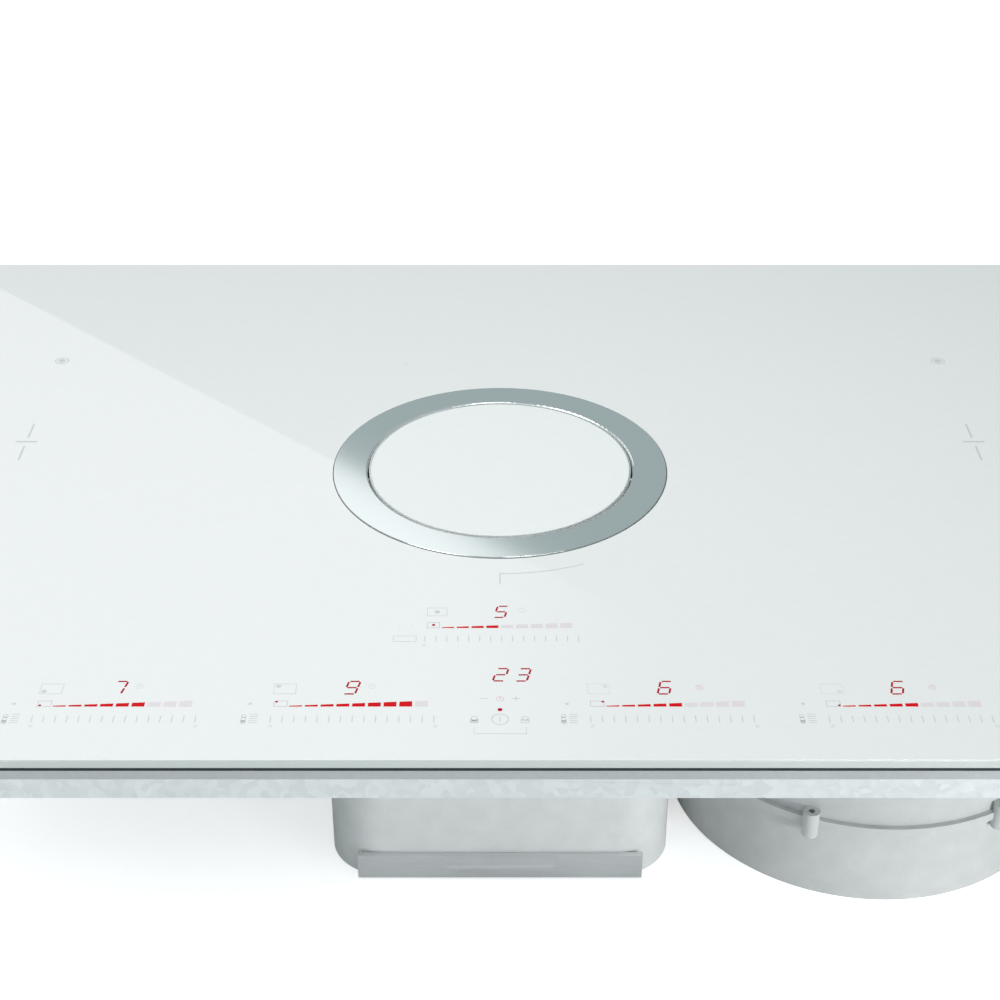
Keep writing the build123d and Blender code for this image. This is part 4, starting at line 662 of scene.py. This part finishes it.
def glowing(name, glow):
    """A finish that shines in one colour, seen through the glass."""
    finish = grained(name, unlit_red, 0.35, 700.0, vary=0.03)
    shader = finish.node_tree.nodes["Principled BSDF"]
    shader.inputs["Emission Color"].default_value = (*glow, 1.0)
    shader.inputs["Emission Strength"].default_value = lit_strength
    shader.inputs["Specular IOR Level"].default_value = lit_specular
    return finish


lit_finish = glowing("lit_red", lit_red)
figure_finish = glowing("lit_crimson", lit_crimson)
off_finish = grained("unlit_bar", off_lilac, 0.3, 700.0, vary=0.03)

# One wedge that rises to the right is cut into nine bars.
bar_count = 9
bar_pitch = 7.03
bar_width = 5.75
bar_gap = bar_pitch - bar_width
bar_lowest, bar_highest = 0.6, 4.3
bar_slack = 0.5
bars_left, bars_low = -200.0, -219.9
bars_length = bar_pitch * bar_count - bar_gap
bars_middle = bars_low + bar_lowest / 2


def at_upper_right(corner):
    """Tells whether a corner of the wedge is the one that rises."""
    at_right = corner.co.x > (bars_left + bars_length / 2) * mm
    return corner.co.y > bars_middle * mm and at_right


def in_gap(face):
    """Tells whether a piece of the wedge lies between two bars."""
    return (face.calc_center_median().x / mm - bars_left) % bar_pitch > bar_width


wedge = blank_print("slider_bars")
add_patch(bars_left + bars_length / 2, bars_middle, bars_length, bar_lowest)
choose_corners(wedge, at_upper_right)
bpy.ops.transform.translate(value=(0.0, (bar_highest - bar_lowest) * mm, 0.0))
for gap in range(1, bar_count):
    for x in (bar_pitch * gap - bar_gap, bar_pitch * gap):
        bpy.ops.mesh.select_all(action="SELECT")
        bpy.ops.mesh.bisect(
            plane_co=((bars_left + x) * mm, 0.0, 0.0), plane_no=(1.0, 0.0, 0.0)
        )
choose_faces(wedge, in_gap)
bpy.ops.mesh.delete(type="FACE")
finish_print(wedge, lit_finish)

# Each slider's bars are parted into the lit ones and the others.
lit_bars = (6, 8, 5, 5)
hood_slider = ("hood", 172.4, 60.3, 4)
sliders = [
    (f"zone_{zone[0]}", zone[1], 0.0, lit) for zone, lit in zip(zones, lit_bars)
]
sliders.append(hood_slider)
for name, shift, drop, lit in sliders:
    slider = copy_piece(wedge, name + "_lit_bars", (shift * mm, drop * mm, 0.0))
    bpy.ops.object.select_all(action="DESELECT")
    bpy.context.view_layer.objects.active = slider
    slider.select_set(True)
    bpy.ops.object.mode_set(mode="EDIT")
    bpy.ops.mesh.select_all(action="DESELECT")
    last_lit = (bars_left + shift + bar_pitch * lit - bar_slack) * mm
    choose_faces(
        slider, lambda face: all(corner.co.x > last_lit for corner in face.verts)
    )
    bpy.ops.mesh.separate(type="SELECTED")
    bpy.ops.object.mode_set(mode="OBJECT")
    unlit = [piece for piece in bpy.context.selected_objects if piece is not slider][0]
    unlit.name = name + "_unlit_bars"
    unlit.data.materials[0] = off_finish
    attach(slider, "housing")
    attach(unlit, "housing")
bpy.data.objects.remove(wedge)

# Each figure is slanted and has up to seven strokes, which are lettered as usual.
figure_slant = 0.22
figure_stroke = 0.92
figure_gap = 0.55 * figure_stroke
figure_size = (5.2, 9.3)
figure_strokes = {
    2: "abged",
    3: "abgcd",
    5: "afgcd",
    6: "afgedc",
    7: "abc",
    9: "abfgcd",
}
stroke_ends = {
    "a": ((0, 2), (1, 2)),
    "b": ((1, 2), (1, 1)),
    "c": ((1, 1), (1, 0)),
    "d": ((0, 0), (1, 0)),
    "e": ((0, 1), (0, 0)),
    "f": ((0, 2), (0, 1)),
    "g": ((0, 1), (1, 1)),
}


def add_figure(number, x, y, width, height):
    """Lays a slanted figure of seven strokes; x and y are its lower left corner."""
    for stroke in figure_strokes[number]:
        ends = []
        for column, level in stroke_ends[stroke]:
            rise = level * height / 2
            ends.append(Vector((x + column * width + rise * figure_slant, y + rise)))
        gap = (ends[1] - ends[0]).normalized() * figure_gap
        add_stroke(ends[0] + gap, ends[1] - gap, figure_stroke)


figures = blank_print("lit_figures")
for number, x, y in (
    (7, -176.4, -210.7),
    (9, -70.7, -210.7),
    (6, 71.1, -210.7),
    (6, 176.6, -210.7),
    (5, -3.1, -150.9),
    (2, -3.3, -201.0),
    (3, 7.0, -201.1),
):
    add_figure(number, x, y, *figure_size)
for _, shift, side, row in zones:
    add_dot(-203.7 + side * 2.2 + shift, -217.7 + row * 1.3, 0.65)
add_dot(-31.6, -157.1, 0.8)
add_dot(0.0, -222.1, 1.1)
finish_print(figures, figure_finish)

faint_red = (0.76, 0.52, 0.60)
plan_mauve = (0.62, 0.56, 0.59)
lit_line = 0.3
faint_finish = grained("faint_red", faint_red, 0.3, 700.0, vary=0.03)
plan_finish = grained("lit_plan_outline", plan_mauve, 0.3, 700.0, vary=0.03)
plans = blank_print("lit_plan_outlines")
for _, shift, _, _ in zones:
    add_outline(-207.2 + shift, -219.9, -200.8 + shift, -215.7, lit_line)
add_outline(-34.8, -159.6, -28.6, -155.0, lit_line)
finish_print(plans, plan_finish)

clocks = blank_print("lit_clocks")
for _, shift, side, _ in zones:
    if side > 0:
        add_clock(-157.2 + shift, -205.8, clock_radius, lit_line)
add_clock(0.0, -214.2, 1.8, lit_line)
finish_print(clocks, faint_finish)


# ---- Gasket, steel frame and casing ---------------------------------------------------
# A black foam gasket seals the glass to the worktop. The glass is glued to a folded steel
# frame, and a galvanised pan below it, with a shallower front, is held by small screws.
gasket_finish = grained(
    "gasket_foam", (0.011, 0.017, 0.021), 0.9, 1500.0, vary=0.2, height=0.0002
)
frame_finish = grained(
    "frame_steel_sheet", (0.50, 0.52, 0.53), 0.38, 300.0, vary=0.05, metallic=1.0
)

flakes, flakes_in, flakes_out = effect_group(
    "zinc_flakes",
    {
        "Place": "Vector",
        "Scale": "Float",
        "Light": "Color",
        "Dark": "Color",
        "Smooth": "Float",
        "Rough": "Float",
    },
    {"Colour": "Color", "Roughness": "Float"},
)
crystals = node(flakes, "TexVoronoi")
wander = node(flakes, "TexNoise", Scale=40.0, Detail=2.0)
wandered = node(flakes, "VectorMath", "MULTIPLY_ADD", i1=(0.01, 0.01, 0.01))
crystal_split = node(flakes, "SeparateColor")
crystal_tint = colour_mix(flakes)
crystal_polish = node(flakes, "MapRange")
link(
    flakes,
    (flakes_in.outputs["Place"], wander.inputs["Vector"]),
    (wander.outputs["Color"], wandered.inputs[0]),
    (flakes_in.outputs["Place"], wandered.inputs[2]),
    (wandered.outputs[0], crystals.inputs["Vector"]),
    (flakes_in.outputs["Scale"], crystals.inputs["Scale"]),
    (crystals.outputs["Color"], crystal_split.inputs[0]),
    (crystal_split.outputs[0], crystal_tint.inputs[0]),
    (flakes_in.outputs["Dark"], crystal_tint.inputs[6]),
    (flakes_in.outputs["Light"], crystal_tint.inputs[7]),
    (crystal_tint.outputs[2], flakes_out.inputs["Colour"]),
    (crystal_split.outputs[1], crystal_polish.inputs["Value"]),
    (flakes_in.outputs["Smooth"], crystal_polish.inputs["To Min"]),
    (flakes_in.outputs["Rough"], crystal_polish.inputs["To Max"]),
    (crystal_polish.outputs[0], flakes_out.inputs["Roughness"]),
)
galvanised_finish = plain_finish("galvanised_sheet", (0.55, 0.57, 0.59), 0.4, metallic=1.0)
lay_effect(
    galvanised_finish,
    flakes,
    {
        "Scale": 260.0,
        "Light": (0.80, 0.82, 0.83, 1.0),
        "Dark": (0.72, 0.74, 0.75, 1.0),
        "Smooth": 0.3,
        "Rough": 0.48,
    },
    Colour="Base_Color",
    Roughness="Roughness",
)
zinc_finish = grained(
    "zinc_screws", (0.60, 0.61, 0.62), 0.3, 1200.0, vary=0.08, metallic=1.0
)
spring_finish = grained(
    "spring_strip",
    (0.42, 0.43, 0.45),
    0.28,
    900.0,
    vary=0.1,
    metallic=1.0,
    stretch=(1.0, 1.0, 0.05),
)

glass_low, glass_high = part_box("glass_top")
gasket_low, gasket_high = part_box("worktop_gasket")
gasket_free_height = 1.7 * mm
gasket_edge = 0.1 * mm
gasket_corner = 5.9 * mm
gasket_band = 8.0 * mm
gasket_width = gasket_low.x - glass_low.x + gasket_band - gasket_edge
bpy.ops.object.select_all(action="DESELECT")
bpy.ops.mesh.primitive_plane_add(size=1.0, location=(0.0, 0.0, 0.0))
gasket = bpy.context.object
gasket.name = "foam_gasket"
bpy.ops.object.mode_set(mode="EDIT")
bpy.ops.mesh.select_all(action="SELECT")
bpy.ops.transform.resize(
    value=(
        glass_high.x - glass_low.x - 2 * gasket_edge,
        glass_high.y - glass_low.y - 2 * gasket_edge,
        1.0,
    ),
    center_override=(0.0, 0.0, 0.0),
)
bpy.ops.mesh.bevel(offset=gasket_corner, segments=8, affect="VERTICES")
bpy.ops.mesh.select_all(action="SELECT")
bpy.ops.mesh.inset(thickness=gasket_width)
bpy.ops.mesh.delete(type="FACE")
bpy.ops.mesh.select_all(action="SELECT")
bpy.ops.transform.translate(value=(0.0, 0.0, gasket_high.z - gasket_free_height))
bpy.ops.mesh.extrude_region_move(
    TRANSFORM_OT_translate={"value": (0.0, 0.0, gasket_free_height)}
)
bpy.ops.mesh.select_all(action="SELECT")
bpy.ops.mesh.normals_make_consistent(inside=False)
bpy.ops.object.mode_set(mode="OBJECT")
gasket.data.materials.append(gasket_finish)
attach(gasket, "housing")
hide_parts("worktop_gasket")
dress(frame_finish, "glass_frame")
dress(galvanised_finish, "lower_casing", "blower_hangers")
dress(zinc_finish, "casing_screws", "air_box_screws")
dress(spring_finish, "clamp_springs")


# ---- Air inlet collar -----------------------------------------------------------------
# A black moulded collar glued under the glass's round opening, with a soft grey seal
# between it and the duct below.
black_finish = grained(
    "black_moulding", (0.022, 0.023, 0.024), 0.5, 1400.0, vary=0.12, height=0.00012
)
seal_finish = grained(
    "seal_foam", (0.16, 0.165, 0.17), 0.8, 1600.0, vary=0.15, height=0.0002
)
rubber_finish = grained(
    "seal_rubber", (0.05, 0.05, 0.052), 0.62, 1100.0, vary=0.12, height=0.0001
)
dress(black_finish, "inlet_collar", "inlet_duct")
dress(rubber_finish, "collar_seal", "duct_seal")
dress(seal_finish, "air_box_seal")


# ---- Bright ring ----------------------------------------------------------------------
# A flat ring turned from aluminium, polished and clear anodised. Its skirt drops into the
# opening and holds two plastic bushes for the lid's pivots.
ring_low, ring_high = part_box("bezel_ring")
ring_radius = (ring_high.x - ring_low.x) / 2 / mm
ring_bright = (0.785, 0.83, 0.83)
ring_roughness = 0.085
ring_polish_depth = 0.3 * mm
turned_pale = (0.84, 0.85, 0.85)
turned_roughness = 0.42
turned_metal = 0.25
tool_ring_density = 21000.0

# Polished above a level, and matt as it left the lathe below it, where the tool's fine
# rings show.
turning, turning_in, turning_out = effect_group(
    "polished_top",
    {
        "Place": "Vector",
        "Level": "Float",
        "Polished": "Color",
        "Turned": "Color",
        "Polished Roughness": "Float",
        "Turned Roughness": "Float",
        "Turned Metal": "Float",
    },
    {"Colour": "Color", "Roughness": "Float", "Metallic": "Float"},
)
turning_split = node(turning, "SeparateXYZ")
turning_below = node(turning, "Math", "LESS_THAN")
tool_rings = node(turning, "Math", "SINE")
ring_pitch = node(turning, "Math", "MULTIPLY", i1=tool_ring_density)
ring_depth = node(turning, "Math", "MULTIPLY_ADD", i1=0.05, i2=1.0)
turning_shade = node(turning, "VectorMath", "SCALE")
turning_tint = colour_mix(turning)
turning_polish = node(turning, "Mix")
turning_metal = node(turning, "Mix", i2=1.0)
link(
    turning,
    (turning_in.outputs["Place"], turning_split.inputs[0]),
    (turning_split.outputs["Z"], turning_below.inputs[0]),
    (turning_in.outputs["Level"], turning_below.inputs[1]),
    (turning_split.outputs["Z"], ring_pitch.inputs[0]),
    (ring_pitch.outputs[0], tool_rings.inputs[0]),
    (tool_rings.outputs[0], ring_depth.inputs[0]),
    (turning_in.outputs["Turned"], turning_shade.inputs[0]),
    (ring_depth.outputs[0], turning_shade.inputs["Scale"]),
    (turning_below.outputs[0], turning_tint.inputs[0]),
    (turning_in.outputs["Polished"], turning_tint.inputs[6]),
    (turning_shade.outputs[0], turning_tint.inputs[7]),
    (turning_tint.outputs[2], turning_out.inputs["Colour"]),
    (turning_below.outputs[0], turning_polish.inputs[0]),
    (turning_in.outputs["Polished Roughness"], turning_polish.inputs[2]),
    (turning_in.outputs["Turned Roughness"], turning_polish.inputs[3]),
    (turning_polish.outputs[0], turning_out.inputs["Roughness"]),
    (turning_below.outputs[0], turning_metal.inputs[0]),
    (turning_in.outputs["Turned Metal"], turning_metal.inputs[3]),
    (turning_metal.outputs[0], turning_out.inputs["Metallic"]),
)


def lathe_finish(name, polished, roughness, level):
    """Bright metal whose walls below a level are matt and pale."""
    finish = plain_finish(name, polished, roughness, 1.0)
    settings = {
        "Level": level,
        "Polished": (*polished, 1.0),
        "Turned": (*turned_pale, 1.0),
        "Polished Roughness": roughness,
        "Turned Roughness": turned_roughness,
        "Turned Metal": turned_metal,
    }
    joins = {"Colour": "Base_Color", "Roughness": "Roughness", "Metallic": "Metallic"}
    lay_effect(finish, turning, settings, **joins)
    return finish


ring_finish = lathe_finish(
    "bright_ring", ring_bright, ring_roughness, ring_high.z - ring_polish_depth
)
bush_finish = grained(
    "bush_plastic", (0.70, 0.69, 0.64), 0.42, 1200.0, vary=0.06, height=0.00008
)
dress(ring_finish, "bezel_ring")

dress(bush_finish, "pivot_bushes", "shaft_bush")

# A thin black lip under the ring's edge, which shows as a fine dark line around it: painted
# shade, laid where the gap between the ring and the glass is in shadow.
lip_proud = 0.35
lip_width = 1.6
lip_height = 0.07 * mm
lip_sides = 240
# The black band is painted shade for the gap under the ring's edge.
shade_lip = blank_print("ring_shade_lip")
add_hoop(*opening_centre, ring_radius + lip_proud, lip_width, lip_sides)
finish_print(shade_lip, rubber_finish, "ring_unit", lip_height)


# ---- Tilting lid ----------------------------------------------------------------------
# A disc of satin white glass in a thin polished rim, glued to a ribbed plastic carrier
# that turns on two steel pins.
lid_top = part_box("flap_glass")[1].z
lid_white = (0.862, 0.868, 0.863)
lid_roughness = 0.45
lid_edge = lid_top - 0.5 * mm
rim_edge = lid_top - 0.4 * mm
lid_finish = white_glass("lid_glass", lid_white, glass_edge_green, lid_roughness, lid_edge)
rim_finish = lathe_finish("polished_rim", (0.80, 0.82, 0.82), 0.2, rim_edge)
carrier_finish = grained(
    "grey_moulding", (0.30, 0.31, 0.32), 0.48, 1300.0, vary=0.08, height=0.0001
)
turned_finish = grained(
    "turned_steel",
    (0.58, 0.59, 0.60),
    0.22,
    1500.0,
    vary=0.08,
    metallic=1.0,
    stretch=(0.05, 1.0, 1.0),
)
dress(lid_finish, "flap_glass")
dress(rim_finish, "flap_rim")
dress(carrier_finish, "flap_carrier")
dress(turned_finish, "flap_pivot_pins", "drive_shaft")


# ---- Lid drive ------------------------------------------------------------------------
# A small gear motor on a folded bracket turns a white toothed quadrant on the lid's
# drive shaft.
gear_finish = grained(
    "gear_nylon", (0.76, 0.75, 0.70), 0.4, 1300.0, vary=0.05, height=0.00006
)
dress(gear_finish, "quadrant_gear", "motor_pinion")
dress(galvanised_finish, "motor_bracket")
dress(black_finish, "flap_motor")


# ---- Grease filter --------------------------------------------------------------------
# A lift-out basket: a stainless cage with a rolled rim and a wire handle, lined with a
# fine punched sheet that catches the grease.
filter_finish = grained(
    "filter_steel",
    (0.60, 0.61, 0.61),
    0.25,
    700.0,
    vary=0.06,
    metallic=1.0,
    stretch=(1.0, 1.0, 0.1),
)
dress(filter_finish, "filter_frame", "filter_handle")

mesh_low, mesh_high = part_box("filter_mesh")
mesh_middle = (mesh_low + mesh_high) / 2
sheet_thickness = 0.5 * mm
sheet_radius = (mesh_high.x - mesh_low.x) / 2 - sheet_thickness / 2
sheet_floor = mesh_low.z + sheet_thickness / 2
sheet_top = mesh_high.z
hole_pitch = 4.2 * mm
hole_margin = 0.85 * mm
hole_corner = 0.7 * mm
seam_reach = 0.02 * mm


def punch_holes(sheet, chosen):
    """Punches an eight-sided hole through each cell that is chosen by its middle."""
    bmesh.from_edit_mesh(sheet.data).select_mode = {"FACE"}
    choose_faces(sheet, lambda cell: len(cell.verts) == 4 and chosen(cell))
    bpy.ops.mesh.inset(thickness=hole_margin, use_individual=True)
    bpy.ops.mesh.bevel(offset=hole_corner, segments=1, affect="VERTICES")
    choose_faces(sheet, lambda cell: len(cell.verts) == 8)
    bpy.ops.mesh.delete(type="FACE")


# The wall starts as a flat grid of cells, which is punched and then rolled up.
bpy.ops.object.select_all(action="DESELECT")
around = 2 * pi * sheet_radius
wall_height = sheet_top - sheet_floor
bpy.ops.mesh.primitive_grid_add(
    x_subdivisions=round(around / hole_pitch),
    y_subdivisions=round(wall_height / hole_pitch),
)
filter_sheet = bpy.context.object
filter_sheet.name = "punched_filter_sheet"
bpy.ops.object.mode_set(mode="EDIT")
bpy.ops.mesh.select_all(action="SELECT")
bpy.ops.transform.resize(
    value=(around / 2, wall_height / 2, 1.0), center_override=(0.0, 0.0, 0.0)
)
wall_border = wall_height / 2 - 1.2 * hole_pitch
punch_holes(filter_sheet, lambda cell: cell.calc_center_median().y < wall_border)
rolled = bmesh.from_edit_mesh(filter_sheet.data)
for corner in rolled.verts:
    turn = corner.co.x / sheet_radius
    corner.co = (
        mesh_middle.x + sheet_radius * sin(turn),
        mesh_middle.y - sheet_radius * cos(turn),
        (sheet_floor + sheet_top) / 2 + corner.co.y,
    )
bmesh.update_edit_mesh(filter_sheet.data)
bpy.ops.mesh.select_all(action="SELECT")
bpy.ops.mesh.remove_doubles(threshold=seam_reach)
bpy.ops.object.mode_set(mode="OBJECT")

# The floor is a square grid trimmed to a disc, with its border cells left whole.
bpy.ops.object.select_all(action="DESELECT")
cell_count = 2 * round(sheet_radius / hole_pitch) + 2
bpy.ops.mesh.primitive_grid_add(x_subdivisions=cell_count, y_subdivisions=cell_count)
floor_sheet = bpy.context.object
bpy.ops.object.mode_set(mode="EDIT")
bpy.ops.mesh.select_all(action="SELECT")
half_grid = cell_count * hole_pitch / 2
bpy.ops.transform.resize(value=(half_grid, half_grid, 1.0), center_override=(0.0, 0.0, 0.0))
choose_faces(
    floor_sheet, lambda cell: all(corner.co.length > sheet_radius for corner in cell.verts)
)
bpy.ops.mesh.delete(type="FACE")
trimmed = bmesh.from_edit_mesh(floor_sheet.data)
for corner in trimmed.verts:
    if corner.co.length > sheet_radius:
        corner.co = corner.co.normalized() * sheet_radius
bmesh.update_edit_mesh(floor_sheet.data)
floor_border = sheet_radius - 0.2 * hole_pitch
punch_holes(
    floor_sheet, lambda cell: all(corner.co.length < floor_border for corner in cell.verts)
)
bpy.ops.mesh.select_all(action="SELECT")
bpy.ops.transform.translate(value=(mesh_middle.x, mesh_middle.y, sheet_floor))
bpy.ops.object.mode_set(mode="OBJECT")

floor_sheet.select_set(True)
filter_sheet.select_set(True)
bpy.context.view_layer.objects.active = filter_sheet
bpy.ops.object.join()
thickened = filter_sheet.modifiers.new("Solidify", "SOLIDIFY")
thickened.thickness = sheet_thickness
thickened.offset = 0.0
bpy.ops.object.modifier_apply(modifier="Solidify")
filter_sheet.data.materials.clear()
filter_sheet.data.materials.append(filter_finish)
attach(filter_sheet, "grease_filter")
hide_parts("filter_mesh")


# ---- Air box and drip tray ------------------------------------------------------------
# A light grey moulded chamber under the filter leads the air sideways to the blower. A
# shallow aluminium tray slides in below its drain.
light_finish = grained(
    "light_moulding", (0.72, 0.73, 0.73), 0.46, 1300.0, vary=0.05, height=0.0001
)
tray_finish = grained(
    "tray_aluminium",
    (0.72, 0.73, 0.74),
    0.33,
    400.0,
    vary=0.05,
    metallic=1.0,
    stretch=(0.1, 1.0, 1.0),
)
dress(light_finish, "air_box")
dress(tray_finish, "spill_tray")


# ---- Blower and outlet ----------------------------------------------------------------
# A moulded scroll with a backward-bladed wheel on an outside-rotor motor, hung from the
# casing by three folded straps. The flat outlet spigot takes the duct behind the unit.
dark_grey_finish = grained(
    "grey_housing", (0.58, 0.59, 0.59), 0.5, 1300.0, vary=0.06, height=0.0001
)
cast_finish = grained(
    "cast_aluminium", (0.60, 0.61, 0.62), 0.5, 900.0, vary=0.1, height=0.0002, metallic=1.0
)
dress(dark_grey_finish, "scroll_housing", "outlet_spigot", "inlet_cone")
dress(black_finish, "impeller")
dress(turned_finish, "rotor_cup", "motor_shaft", "motor_bearings")
dress(cast_finish, "motor_base", "fan_stator")
dress(rubber_finish, "motor_grommets")


# ---- Induction coils ------------------------------------------------------------------
# Four flat coils of twisted copper wire on plastic carriers, with ferrite bars below, a
# mica sheet above, and a spring sensor in each eye, all on two aluminium trays.
litz_finish = grained(
    "copper_litz", (0.70, 0.36, 0.20), 0.35, 900.0, vary=0.15, height=0.0003, metallic=1.0
)
mica_finish = grained("mica_sheet", (0.62, 0.57, 0.45), 0.3, 250.0, vary=0.1, height=0.0001)
ferrite_finish = grained(
    "ferrite_bar", (0.05, 0.05, 0.052), 0.6, 800.0, vary=0.15, height=0.0001
)
white_finish = grained(
    "white_moulding", (0.72, 0.72, 0.70), 0.42, 1200.0, vary=0.04, height=0.00008
)
dress(litz_finish, "coil_windings")
dress(mica_finish, "mica_sheets")
dress(ferrite_finish, "ferrite_bars")
dress(white_finish, "coil_carriers", "temperature_sensors")
dress(tray_finish, "coil_trays", "tray_posts")


# ---- Power electronics ----------------------------------------------------------------
# A board with its heat sink and parts under each pair of coils, and a flat fan that
# blows along the sink's fins.
board_finish = grained(
    "circuit_board", (0.03, 0.16, 0.07), 0.4, 600.0, vary=0.15, height=0.0001
)
parts_finish = grained(
    "board_parts", (0.04, 0.04, 0.045), 0.45, 900.0, vary=0.2, height=0.0001
)
sink_finish = grained(
    "sink_aluminium",
    (0.65, 0.66, 0.67),
    0.4,
    600.0,
    vary=0.05,
    metallic=1.0,
    stretch=(1.0, 0.05, 1.0),
)
dress(board_finish, "power_boards", "ui_board")
dress(parts_finish, "board_components")
dress(sink_finish, "heat_sinks")
dress(black_finish, "fan_frames", "fan_rotor_left", "fan_rotor_right")


# ---- Controls -------------------------------------------------------------------------
# The touch board sits under the front of the glass on a moulded carrier, with a display
# block under each slider.
display_finish = grained(
    "display_block", (0.60, 0.60, 0.60), 0.45, 900.0, vary=0.05, height=0.00008
)
dress(display_finish, "ui_displays")
dress(white_finish, "ui_carrier")


# ---- Mains connection -----------------------------------------------------------------
# A screw terminal block under a moulded cover with a cable gland, and a closed control
# box for the hood beside the air box.
dress(white_finish, "terminal_block")
dress(carrier_finish, "terminal_cover", "hood_control_box")
dress(black_finish, "cable_gland")
